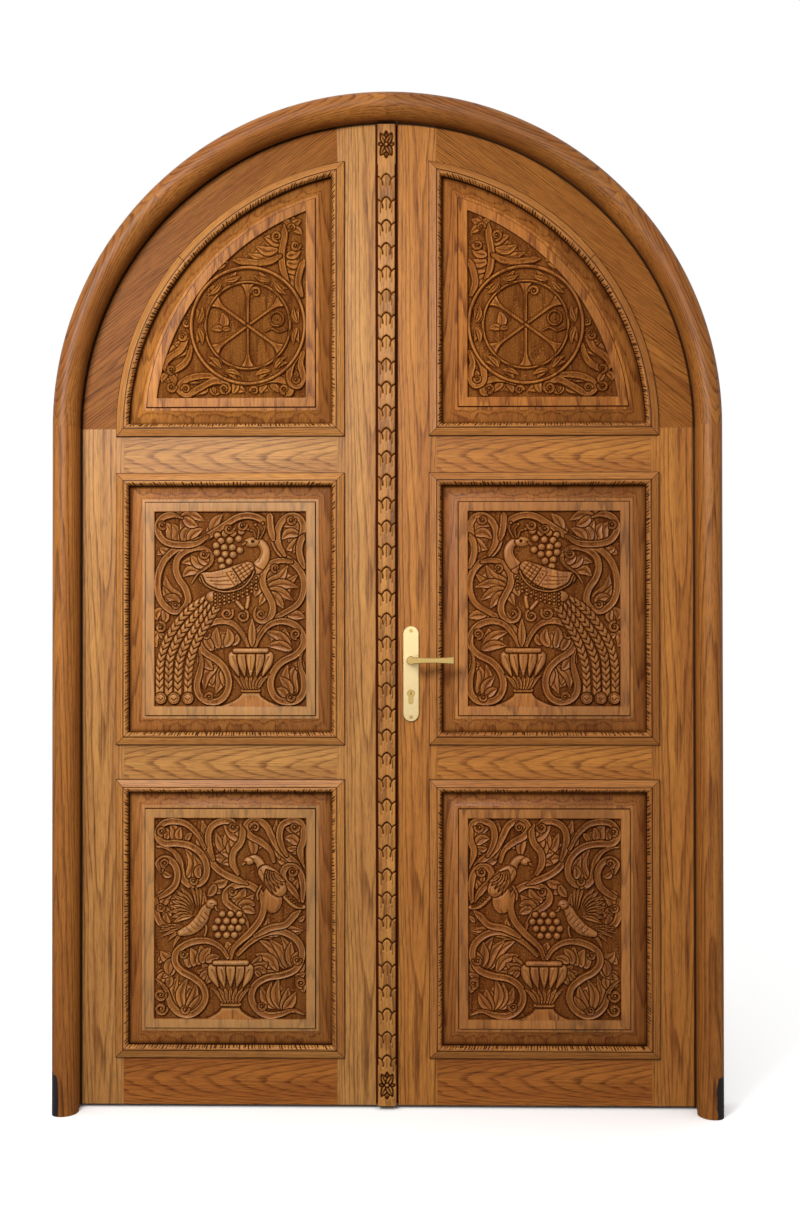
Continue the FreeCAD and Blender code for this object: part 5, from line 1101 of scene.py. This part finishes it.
def draw_strip(relief, wide, high, plaque):
    """Leaf rows with pointed tips, and a rosette on the block at each end. Heights run down from 8 mm."""
    middle = wide / 2
    relief.h[:] = 7.2
    pitch = sizes().row_pitch / MM
    rows = int((high - 2 * plaque + 8) / pitch)
    first = plaque - 4 + (high - 2 * plaque + 8 - (rows - 1) * pitch) / 2
    apexes = [first + i * pitch for i in range(rows)]
    if apexes[-1] + pitch < high - plaque - 4:
        apexes.append(apexes[-1] + pitch)
    across = np.abs(relief.x - middle)
    inside = (relief.z > plaque - 16) & (relief.z < high - plaque + 2)
    for apex in apexes:
        tip_line = apex - 0.075 * np.minimum(across, 11) ** 2 + np.clip(across - 11, 0, 99) * 0.25
        below = tip_line - relief.z
        slope = 1.4 * np.clip(1 - below / pitch, 0, 1)
        relief.h = np.where(inside & (below >= 0) & (below < pitch * 1.02), 6.6 + slope, relief.h)
    for apex in apexes:
        for hand in (-1, 1):
            for line, half, depth in LEAF_LINES:
                relief.cut([(middle + hand * a, apex + b) for a, b in line], half, depth)
        relief.cut([(middle, apex - 5), (middle, apex - 30)], 1.7, 2.6)
    for centre in (plaque / 2, high - plaque / 2):
        for start, tip, half in ROSETTE:
            relief.h = np.where(near_line(relief, middle, centre, start, tip, half + 2.4), 4.6, relief.h)
        for start, tip, half in ROSETTE:
            a, b = np.array([middle, centre]) + start, np.array([middle, centre]) + tip
            relief.stroke(np.linspace(a, b, 30), half, 7.8, scooped, leaf_shape)
        relief.stroke(np.array([[middle, centre], [middle, centre]]), 5.4, 8.0, rounded)


def near_line(relief, middle, centre, start, tip, reach):
    """Grid points near a petal's middle line."""
    a, b = np.array(start, float), np.array(tip, float)
    x, z = relief.x - middle - a[0], relief.z - centre - a[1]
    way = b - a
    t = np.clip((x * way[0] + z * way[1]) / (way @ way), 0, 1)
    return np.hypot(x - t * way[0], z - t * way[1]) < reach * leaf_shape(t)


STRIP_THICK = 0.014
STRIP_RELIEF = 8.0        # mm, as are the next
PLAQUE_HIGH = 92.0        # plain block with a rosette at each end
WAIST = 19.5 / 21         # width between the blocks, as a share of theirs
BACKING_HALF = 25.9       # thin board behind the strip, coloured fully dark as painted shade, which hides the working gap between the leaves
BACKING_FRONT_Y, BACKING_BACK_Y = -30.2, -28.3
BACKING_FOOT, BACKING_TOP = 2.0, 3.5      # above the foot and above the top of the strip


class DOOR_OT_centre_strip(bpy.types.Operator):
    """Carves the strip over the meeting edges"""
    bl_idname = "door.centre_strip"
    bl_label = "Carved centre strip"

    def execute(self, context):
        low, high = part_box("centre_strip")
        wide, tall = (high.x - low.x) / MM, (high.z - low.z) / MM
        relief = Relief(wide, tall, sizes().strip_cell / MM, (0, tall, wide, 0), 0.0)
        relief.scale, relief.shift, relief.unit = np.ones(2), np.zeros(2), 1.0
        draw_strip(relief, wide, tall, PLAQUE_HIGH)
        edge = np.minimum(relief.x, wide - relief.x)
        relief.h -= 1.6 * np.clip(1 - edge / 2.2, 0, 1) ** 2
        relief.h = blurred(relief.h, 1)
        # stain and painted shade: darker where the strip is cut lower and in its hollows
        stain_and_shade = np.clip(0.25 * (6.6 - relief.h) + 0.20 * (blurred(relief.h, 10) - relief.h), 0, 1)
        waist = np.where((relief.z > PLAQUE_HIGH) & (relief.z < tall - PLAQUE_HIGH), WAIST, 1.0)
        relief.x = wide / 2 + (relief.x - wide / 2) * waist
        corner = (low.x, low.y + STRIP_RELIEF * MM, low.z)
        plate = carved_plate(relief, stain_and_shade, corner, False, None, "carved_centre_strip")
        places = vertices(plate)
        behind = places[:, 1] > low.y + (STRIP_RELIEF + 2) * MM
        places[behind, 1] = low.y + STRIP_THICK - 0.0002
        place_vertices(plate, places)
        turn_outward(plate, 0.9, DOUBLES)
        plate = join([plate, self.backing(low, high)], "carved_centre_strip")
        give(plate, carved_oak("Carved oak strip", STRIP_TONE, 0.0, 1.0))
        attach(plate, "left_leaf")
        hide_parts("centre_strip")
        return {"FINISHED"}

    def backing(self, low, high):
        """The board behind the strip, coloured fully dark as painted shade for the gap between the leaves."""
        bpy.ops.mesh.primitive_cube_add(size=1)
        piece = take("strip_backing")
        foot, top = low.z + BACKING_FOOT * MM, high.z + BACKING_TOP * MM
        size = (2 * BACKING_HALF * MM, (BACKING_BACK_Y - BACKING_FRONT_Y) * MM, top - foot)
        middle = (0, (BACKING_FRONT_Y + BACKING_BACK_Y) / 2 * MM, (foot + top) / 2)
        place_vertices(piece, vertices(piece) * size + middle)
        # painted shade: the whole board takes the darkest colour
        set_stain_and_shade(piece, np.full(len(piece.data.vertices), 1.0))
        return piece


# Materials

def new_material(name):
    """A material with nothing but a shader, its node tree and that shader."""
    material = bpy.data.materials.new(name)
    material.use_nodes = True
    tree = material.node_tree
    tree.nodes.clear()
    shader = add_node(tree, "ShaderNodeBsdfPrincipled")
    add_node(tree, "ShaderNodeOutputMaterial", Surface=shader.outputs["BSDF"])
    return material, tree, shader


def feed(tree, socket, value):
    """Links a socket to another node's output, or sets it to a constant."""
    if isinstance(value, bpy.types.NodeSocket):
        tree.links.new(value, socket)
    else:
        socket.default_value = value


def add_node(tree, kind, settings=None, **inputs):
    """Adds a node, sets its settings, and sets or links its inputs, by name or as _ and a number."""
    node = tree.nodes.new(kind)
    for key, value in (settings or {}).items():
        setattr(node, key, value)
    for key, value in inputs.items():
        feed(tree, node.inputs[int(key[1:])] if key[0] == "_" else node.inputs[key.replace("_", " ")], value)
    return node


def ramp(tree, fac, stops):
    """A colour or grey for a value, from stops of (value, colour or grey)."""
    node = add_node(tree, "ShaderNodeValToRGB", Fac=fac)
    band = node.color_ramp
    while len(band.elements) < len(stops):
        band.elements.new(0.5)
    for element, (place, colour) in zip(band.elements, stops):
        element.position = place
        element.color = colour if hasattr(colour, "__len__") else (colour, colour, colour, 1)
    return node.outputs["Color"]


def mix(tree, blend, fac, first, second):
    return add_node(tree, "ShaderNodeMix", {"data_type": "RGBA", "blend_type": blend},
                    _0=fac, _6=first, _7=second).outputs[2]


def maths(tree, operation, first, second=0.0):
    return add_node(tree, "ShaderNodeMath", {"operation": operation}, _0=first, _1=second).outputs[0]


def vectors(tree, operation, *values):
    inputs = {f"_{i}": value for i, value in enumerate(values)}
    node = add_node(tree, "ShaderNodeVectorMath", {"operation": operation}, **inputs)
    return node.outputs["Value" if operation == "LENGTH" else "Vector"]


def mapped(tree, place, kind="POINT", **inputs):
    node = add_node(tree, "ShaderNodeMapping", {"vector_type": kind}, Vector=place, **inputs)
    return node.outputs["Vector"]


def drawn_out_noise(tree, place, share, scale, detail, rough):
    """Noise that is longer along X than across it."""
    return add_node(tree, "ShaderNodeTexNoise", Vector=mapped(tree, place, Scale=(share, 1.0, 1.0)),
                    Scale=scale, Detail=detail, Roughness=rough)


def rising(tree, value, start, full, kind="SMOOTHSTEP"):
    """From 0 at the start to 1 where it is full."""
    return add_node(tree, "ShaderNodeMapRange", {"interpolation_type": kind}, Value=value,
                    From_Min=start, From_Max=full).outputs[0]


# the wood's tone against that of the left leaf, which is the palest. The tones hold painted light: the
# right-hand tones are darker than the left ones, and the bottom rails and arched heads darker still, as
# painted shade where the light fell off to the right, downward and up into the arch.
LEFT_TONE = (1.0, 1.0, 1.0)
RIGHT_SHADED_TONE = (0.95, 0.79, 0.57)
BOTTOM_SHADED_TONE = (0.79, 0.56, 0.36)
STRIP_TONE = (1.14, 1.06, 0.90)
FRAME_TONE = (0.74, 0.58, 0.40)
SEGMENT_TONE = {"upper_right": 0.82, "lower_left": 0.9, "lower_right": 0.95}      # of the arch
HEAD_SHADED_TONE = {"left": (0.60, 0.45, 0.30), "right": (0.70, 0.55, 0.40)}
CARVED_TONE = {"left": (0.93, 0.74, 0.58), "right": (0.90, 0.68, 0.50)}
ARCHED_TONE = {"left": (0.95, 0.76, 0.51), "right": (0.92, 0.69, 0.47)}
WEAR_AND_SHEEN = {"left": 0.30, "right": 0.10}      # how far the flats and crests of the panels are paled, by wear and a painted highlight, more on the left leaf where the light fell
MOULDING_TONE = {"left": (1.02, 0.94, 0.86), "right": (0.88, 0.74, 0.60)}


def oak_pattern(tree, place, tone=LEFT_TONE, lean=3.0, heart=0.05):
    """Colour and height of flat-sawn oak. The grain runs along X and the face of the board looks along Y. The
    heart of the log lies behind the face and leans by some degrees, so the rings come out as long arches."""
    c = colours()
    # slow wander of the rings, 480 mm long and 38 mm across the grain
    wander = drawn_out_noise(tree, place, 0.08, 26.0, 2.0, 0.5)
    log = mapped(tree, place, Location=(0, -heart, 0), Rotation=(0, 0, math.radians(lean)))
    warped = vectors(tree, "MULTIPLY_ADD", wander.outputs["Color"], (0, 0.014, 0.014), log)
    # growth rings about 4 mm apart, each with a thin dark line
    rings = add_node(tree, "ShaderNodeTexWave",
                     {"wave_type": "RINGS", "rings_direction": "X", "wave_profile": "SAW"},
                     Vector=warped, Scale=72.0, Distortion=0.0)
    # pores: dark dashes 2.4 mm wide and 34 mm long, and streaks 5 mm wide
    pores = drawn_out_noise(tree, place, 0.07, 420.0, 3.0, 0.7)
    streaks = drawn_out_noise(tree, place, 0.03, 210.0, 4.0, 0.7)
    body = ramp(tree, wander.outputs["Fac"], ((0.30, linear(c.oak_mid)), (0.70, linear(c.oak_pale))))
    line = ramp(tree, rings.outputs["Fac"],
                ((0.0, 0.85), (0.12, 0.75), (0.34, 0.10), (0.92, 0.0), (1.0, 0.6)))
    streak_tone = ramp(tree, streaks.outputs["Fac"], ((0.34, 0.58), (0.50, 1.0), (0.68, 1.08)))
    pore_tone = ramp(tree, pores.outputs["Fac"], ((0.34, 0.34), (0.50, 1.0), (0.66, 1.12)))
    broken = mix(tree, "MULTIPLY", 1.0, line, ramp(tree, streaks.outputs["Fac"], ((0.36, 1.0), (0.62, 0.45))))
    colour = mix(tree, "MIX", broken, body, linear(c.oak_dark))
    colour = mix(tree, "MULTIPLY", 0.55, colour, streak_tone)
    colour = mix(tree, "MULTIPLY", 0.55, colour, pore_tone)
    if tone != LEFT_TONE:
        colour = mix(tree, "MULTIPLY", 1.0, colour, (*tone, 1.0))
    return colour, streak_tone


def varnish(tree, shader, colour, height, gloss=0.16):
    """Satin varnish with the open grain showing as 0.4 mm of bump at most."""
    bump = add_node(tree, "ShaderNodeBump", Strength=0.35, Distance=0.0004, Height=height)
    tree.links.new(colour, shader.inputs["Base Color"])
    tree.links.new(bump.outputs["Normal"], shader.inputs["Normal"])
    shader.inputs["Roughness"].default_value = 0.42
    shader.inputs["Specular IOR Level"].default_value = gloss


def oak(name, centre, grain_degrees, tone, lean, marks, gloss):
    """Varnished board of oak round its own centre, with the grain turned from level in the door's plane."""
    material, tree, shader = new_material(name)
    coords = add_node(tree, "ShaderNodeTexCoord").outputs["Object"]
    turned = mapped(tree, coords, "TEXTURE", Location=centre, Rotation=(0, -math.radians(grain_degrees), 0))
    colour, height = oak_pattern(tree, turned, tone, lean)
    for mark in marks:
        colour = mark(tree, coords, colour)
    varnish(tree, shader, colour, height, gloss)
    return material


SOOT_TOP, SOOT_FULL = 0.125, 0.060            # height of the blackened foot above the floor, in metres
SOOT_START, SOOT_OUTER = 0.736, 0.750         # from the middle of the door
LEAF_SHADE_START, LEAF_SHADE_WIDE = -0.003, 0.015       # band of painted shade on a leaf, out from the sight edge of the frame
LEAF_SHADE_BAND = ((0.0, 0.0), (0.16, 0.92), (0.75, 0.92), (1.0, 0.0))      # share of the band, strength
STOP_FRONT_Y, STOP_BACK_Y = -0.038, -0.029    # sunk edge behind the nosing that a leaf closes against


def darkened_foot(tree, place, colour):
    """Blackened, splashed wood on the outer side of a leg; the splashes are about 36 mm wide."""
    split = add_node(tree, "ShaderNodeSeparateXYZ", Vector=place)
    rough = add_node(tree, "ShaderNodeTexNoise", Vector=place, Scale=28.0, Detail=4.0, Roughness=0.65)
    low = rising(tree, split.outputs["Z"], SOOT_TOP, SOOT_FULL)
    outer = rising(tree, maths(tree, "ABSOLUTE", split.outputs["X"]), SOOT_START, SOOT_OUTER)
    torn = maths(tree, "ADD", maths(tree, "MULTIPLY", low, outer), rough.outputs["Fac"])
    cover = ramp(tree, torn, ((0.92, 0.0), (1.0, 0.96)))
    return mix(tree, "MIX", cover, colour, linear(colours().soot))


def painted_stop_shade(tree, place, colour):
    """Painted shade on the edge of the stop behind the nosing, which darkens the gap between frame and leaf.
    """
    depth = add_node(tree, "ShaderNodeSeparateXYZ", Vector=place).outputs["Y"]
    within = maths(tree, "MULTIPLY", maths(tree, "GREATER_THAN", depth, STOP_FRONT_Y),
                   maths(tree, "LESS_THAN", depth, STOP_BACK_Y))
    # painted shade: near-black over the stop's edge
    return mix(tree, "MIX", within, colour, linear(colours().nick))


def painted_gap_shade(tree, place, colour):
    """Narrow line of painted shade on a leaf's front where it runs in behind the legs and the arch, standing
    for the dark gap between leaf and frame.
    """
    (_, front, _), (sight, _, spring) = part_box("left_hinge_stile")[0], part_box("left_jamb_nosing")[1]
    split = add_node(tree, "ShaderNodeSeparateXYZ", Vector=place)
    above = maths(tree, "MAXIMUM", maths(tree, "SUBTRACT", split.outputs["Z"], spring))
    flat = add_node(tree, "ShaderNodeCombineXYZ", X=split.outputs["X"], Z=above)
    reach = vectors(tree, "LENGTH", flat.outputs["Vector"])
    share = rising(tree, reach, LEAF_SHADE_START - sight, LEAF_SHADE_START + LEAF_SHADE_WIDE - sight, "LINEAR")
    ahead = maths(tree, "LESS_THAN", split.outputs["Y"], front + 0.0005)
    amount = maths(tree, "MULTIPLY", ramp(tree, share, LEAF_SHADE_BAND), ahead)
    # painted shade: near-black mixed in along the leaf's edge beside the frame
    return mix(tree, "MIX", amount, colour, linear(colours().nick))


BOARD_WIDE = 0.13         # boards that a panel is glued up from, in metres
WHOLE = 9.0               # more than the door measures, so that boards part along X alone


def carved_oak(name, tone, wear_and_sheen, strength=0.95, gloss=0.22):
    """Upright glued boards of oak, with stain and painted shade darkening the hollows of the carving, and the
    flats and crests paled by wear and a painted highlight.
    """
    material, tree, shader = new_material(name)
    coords = add_node(tree, "ShaderNodeTexCoord").outputs["Object"]
    # each board has its own heart and tone
    boards = vectors(tree, "SNAP", coords, (BOARD_WIDE, WHOLE, WHOLE))
    chance = add_node(tree, "ShaderNodeTexWhiteNoise", {"noise_dimensions": "3D"}, Vector=boards)
    own = mapped(tree, vectors(tree, "SUBTRACT", coords, boards), "TEXTURE",
                 Location=(BOARD_WIDE / 2, 0, 0), Rotation=(0, -math.radians(90), 0))
    moved = vectors(tree, "MULTIPLY_ADD", chance.outputs["Color"], (0.5, 0.03, 0.06), own)
    colour, height = oak_pattern(tree, moved, tone, 1.5)
    board_tone = ramp(tree, chance.outputs["Value"], ((0.0, 0.70), (1.0, 1.08)))
    colour = mix(tree, "MULTIPLY", 1.0, colour, board_tone)
    hollow = add_node(tree, "ShaderNodeAttribute", {"attribute_name": "stain_and_shade"}).outputs["Fac"]
    # wear and painted highlight: the flats and crests are mixed toward a pale colour
    worn_sheen = [a * b for a, b in zip(linear(colours().oak_worn_sheen), (*tone, 1.0))]
    colour = mix(tree, "MIX", ramp(tree, hollow, ((0.02, wear_and_sheen), (0.06, 0.0))), colour, worn_sheen)
    # stain and painted shade: the hollows are mixed toward the dark stain colour
    depth = ramp(tree, hollow, ((0.06, 0.0), (0.45, 0.55 * strength), (0.85, strength)))
    colour = mix(tree, "MIX", depth, colour, linear(colours().stain_and_shade))
    varnish(tree, shader, colour, height)
    feed(tree, shader.inputs["Roughness"], ramp(tree, hollow, ((0.1, 0.40), (0.6, 0.85))))
    feed(tree, shader.inputs["Specular IOR Level"], ramp(tree, hollow, ((0.1, gloss), (0.45, 0.02))))
    return material


def moulding_oak(side):
    """Oak whose grain follows the moulding round, with stain and painted shade in the nicks and quirks."""
    material, tree, shader = new_material(f"Moulded oak {side}")
    laid = add_node(tree, "ShaderNodeUVMap", {"uv_map": "UVMap"})
    colour, height = oak_pattern(tree, laid.outputs["UV"], MOULDING_TONE[side], 1.0)
    hollow = add_node(tree, "ShaderNodeAttribute", {"attribute_name": "stain_and_shade"}).outputs["Fac"]
    depth = ramp(tree, hollow, ((0.1, 0.0), (0.7, 0.95)))
    colour = mix(tree, "MIX", depth, colour, linear(colours().stain_and_shade))
    # painted shade: the darkest folds and nicks go near-black
    nick_shade = ramp(tree, hollow, ((0.7, 0.0), (0.95, 0.9)))
    colour = mix(tree, "MIX", nick_shade, colour, linear(colours().nick))
    varnish(tree, shader, colour, height)
    return material


def metal(name, code, rough):
    """Satin metal with faint wear in its sheen; the brushing is about 0.4 mm apart."""
    material, tree, shader = new_material(name)
    coords = add_node(tree, "ShaderNodeTexCoord").outputs["Object"]
    lines = mapped(tree, coords, Scale=(1.0, 1.0, 0.04))
    grain = add_node(tree, "ShaderNodeTexNoise", Vector=lines, Scale=2500.0, Detail=2.0)
    wear = ramp(tree, grain.outputs["Fac"], ((0.3, rough - 0.06), (0.7, rough + 0.08)))
    feed(tree, shader.inputs["Base Color"], linear(code))
    feed(tree, shader.inputs["Metallic"], 1.0)
    feed(tree, shader.inputs["Roughness"], wear)
    return material


UPRIGHT, LEVEL = 90.0, 0.0
GRAIN = {                 # which way the grain runs in each kind of wooden piece, by the end of its name
    "jamb": UPRIGHT, "jamb_nosing": UPRIGHT, "stile": UPRIGHT, "rail": LEVEL, "back_mouldings": UPRIGHT,
    "arch_splines": UPRIGHT, "lower_left": 67.5, "upper_left": 22.5, "upper_right": -22.5,
    "lower_right": -67.5, "left_arched_head": 37.0, "right_arched_head": -37.0,
}


class DOOR_OT_finishes(bpy.types.Operator):
    """Gives every carried-over piece its wood or metal"""
    bl_idname = "door.finishes"
    bl_label = "Wood and metal finishes"

    def execute(self, context):
        c = colours()
        finish = {}
        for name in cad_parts:
            for ending, degrees in GRAIN.items():
                if name.endswith(ending):
                    finish[name] = self.board(name, degrees)
        steel = metal("Satin steel", c.steel, 0.38)
        plate = metal("Pale satin brass", c.plate_brass, 0.34)
        lever = metal("Satin brass lever", c.lever_brass, 0.28)
        for node in ("front_handle_plate", "rear_handle_plate"):
            finish[node] = plate
        for node in ("front_lever", "rear_lever", "handle_plate_screws"):
            finish[node] = lever
        for node in ("key_cylinder", "cylinder_plug"):
            finish[node] = metal(f"Brass {node}", c.lever_brass, 0.34)
        for name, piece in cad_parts.items():
            if piece.hide_render:
                continue
            give(piece, finish.get(name, steel))
            make_active(piece)
            bpy.ops.object.shade_smooth_by_angle(angle=0.6)
        return {"FINISHED"}

    def board(self, name, degrees):
        """Oak for one board, by its name."""
        low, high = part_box(name)
        side, ending = name.split("_")[0], "_".join(name.split("_")[-2:])
        # painted shade: the arched heads, bottom rails and the right leaf take darker tones
        if "jamb" in name or side == "arch":
            tone = FRAME_TONE
        elif name.endswith("head"):
            tone = HEAD_SHADED_TONE[side]
        elif name.endswith("bottom_rail"):
            tone = BOTTOM_SHADED_TONE
        else:
            tone = RIGHT_SHADED_TONE if side == "right" else LEFT_TONE
        tone = tuple(SEGMENT_TONE.get(ending, 1.0) * part for part in tone)
        lean = 4.0 if degrees == LEVEL else 0.7
        gloss = 0.05 if name.endswith("head") else 0.16
        marks = []
        # painted shade: a dark line on the leaves' front beside the frame
        if name.endswith(("stile", "head")):
            marks.append(painted_gap_shade)
        # painted shade: the stop's edge behind the nosing is darkened
        if "nosing" in name:
            marks.append(painted_stop_shade)
        if name.endswith("jamb_nosing"):
            marks.append(darkened_foot)
        return oak(f"Oak {name}", (low + high) / 2, degrees, tone, lean, marks, gloss)


# Stage

# camera fitted to the corners of the door in the photo
CAMERA_PLACE = (0.0774, -3.0843, 1.1156)
CAMERA_TURN = (math.pi / 2 + 0.0080, 0.0009, 0.0154)
CAMERA_LENS = 38.96
LIGHTS = (                # name, place, aim, width in metres, watts
    ("key_light", (-1.0, -2.4, 2.3), (-0.25, 0, 1.3), 0.8, 72),
    ("fill_light", (-0.3, -3.3, 2.0), (-0.2, 0, 1.4), 1.4, 16),
)
LOW_SKY, HIGH_SKY = 0.30, 2.20      # light of the surround at the horizon and overhead
SKY_CROWDING = 3.0                  # how closely the light gathers overhead


class DOOR_OT_stage(bpy.types.Operator):
    """Sets the floor, soft lights, white surround and camera"""
    bl_idname = "door.stage"
    bl_label = "Stage"

    def execute(self, context):
        scene = context.scene
        bpy.ops.mesh.primitive_plane_add(size=14, location=(0, 0, -0.0005))
        floor = take("floor")
        material, tree, shader = new_material("Pale floor")
        shader.inputs["Roughness"].default_value = 0.9
        # the floor looks white, but throws little light up at the door
        path = add_node(tree, "ShaderNodeLightPath")
        pale = mix(tree, "MIX", path.outputs["Is Camera Ray"], linear(colours().floor_bounce),
                   linear(colours().floor))
        tree.links.new(pale, shader.inputs["Base Color"])
        floor.data.materials.append(material)
        for name, place, aim, wide, power in LIGHTS:
            bpy.ops.object.light_add(type="AREA", location=place)
            light = bpy.context.active_object
            light.name = name
            light.data.size = wide
            light.data.energy = power
            light.rotation_euler = (Vector(aim) - Vector(place)).to_track_quat("-Z", "Y").to_euler()
        bpy.ops.object.camera_add(location=CAMERA_PLACE, rotation=CAMERA_TURN)
        camera = bpy.context.active_object
        camera.data.lens = CAMERA_LENS
        scene.camera = camera
        scene.view_settings.view_transform = "Standard"
        self.white_surround(scene)
        return {"FINISHED"}

    def white_surround(self, scene):
        """White where it is seen, with most of its light from above."""
        world = bpy.data.worlds.new("White surround")
        scene.world = world
        world.use_nodes = True
        tree = world.node_tree
        tree.nodes.clear()
        path = add_node(tree, "ShaderNodeLightPath")
        seen = maths(tree, "ADD", path.outputs["Is Camera Ray"], path.outputs["Is Glossy Ray"])
        seen = add_node(tree, "ShaderNodeMath", {"operation": "ADD", "use_clamp": True}, _0=seen,
                        _1=path.outputs["Is Transmission Ray"])
        way = add_node(tree, "ShaderNodeTexCoord")
        height = add_node(tree, "ShaderNodeSeparateXYZ", Vector=way.outputs["Generated"])
        steep = maths(tree, "POWER", maths(tree, "MAXIMUM", height.outputs["Z"]), SKY_CROWDING)
        soft = add_node(tree, "ShaderNodeMapRange", Value=steep, To_Min=LOW_SKY, To_Max=HIGH_SKY)
        strength = add_node(tree, "ShaderNodeMapRange", Value=seen.outputs[0], To_Min=soft.outputs[0],
                            To_Max=1.0)
        sky = add_node(tree, "ShaderNodeBackground", Color=(1, 1, 1, 1), Strength=strength.outputs[0])
        add_node(tree, "ShaderNodeOutputWorld", Surface=sky.outputs[0])


class DOOR_PT_panel(bpy.types.Panel):
    """Lists the door's operators"""
    bl_label = "Carved church door"
    bl_idname = "DOOR_PT_panel"
    bl_space_type = "VIEW_3D"
    bl_region_type = "UI"
    bl_category = "Door"

    def draw(self, context):
        for step in STEPS:
            self.layout.operator(step.bl_idname)


STEPS = (DOOR_OT_square_panels, DOOR_OT_arched_panels, DOOR_OT_mouldings, DOOR_OT_centre_strip,
         DOOR_OT_finishes, DOOR_OT_stage)
CLASSES = (DoorSizes, DoorColours) + STEPS + (DOOR_PT_panel,)


def register():
    for item in CLASSES:
        bpy.utils.register_class(item)
    bpy.types.Scene.door_sizes = bpy.props.PointerProperty(type=DoorSizes)
    bpy.types.Scene.door_colours = bpy.props.PointerProperty(type=DoorColours)


def unregister():
    del bpy.types.Scene.door_sizes
    del bpy.types.Scene.door_colours
    for item in reversed(CLASSES):
        bpy.utils.unregister_class(item)


def main():
    register()
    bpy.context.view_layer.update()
    bpy.ops.door.square_panels()
    bpy.ops.door.arched_panels()
    bpy.ops.door.mouldings()
    bpy.ops.door.centre_strip()
    bpy.ops.door.finishes()
    bpy.ops.door.stage()


if __name__ == "__main__":
    main()
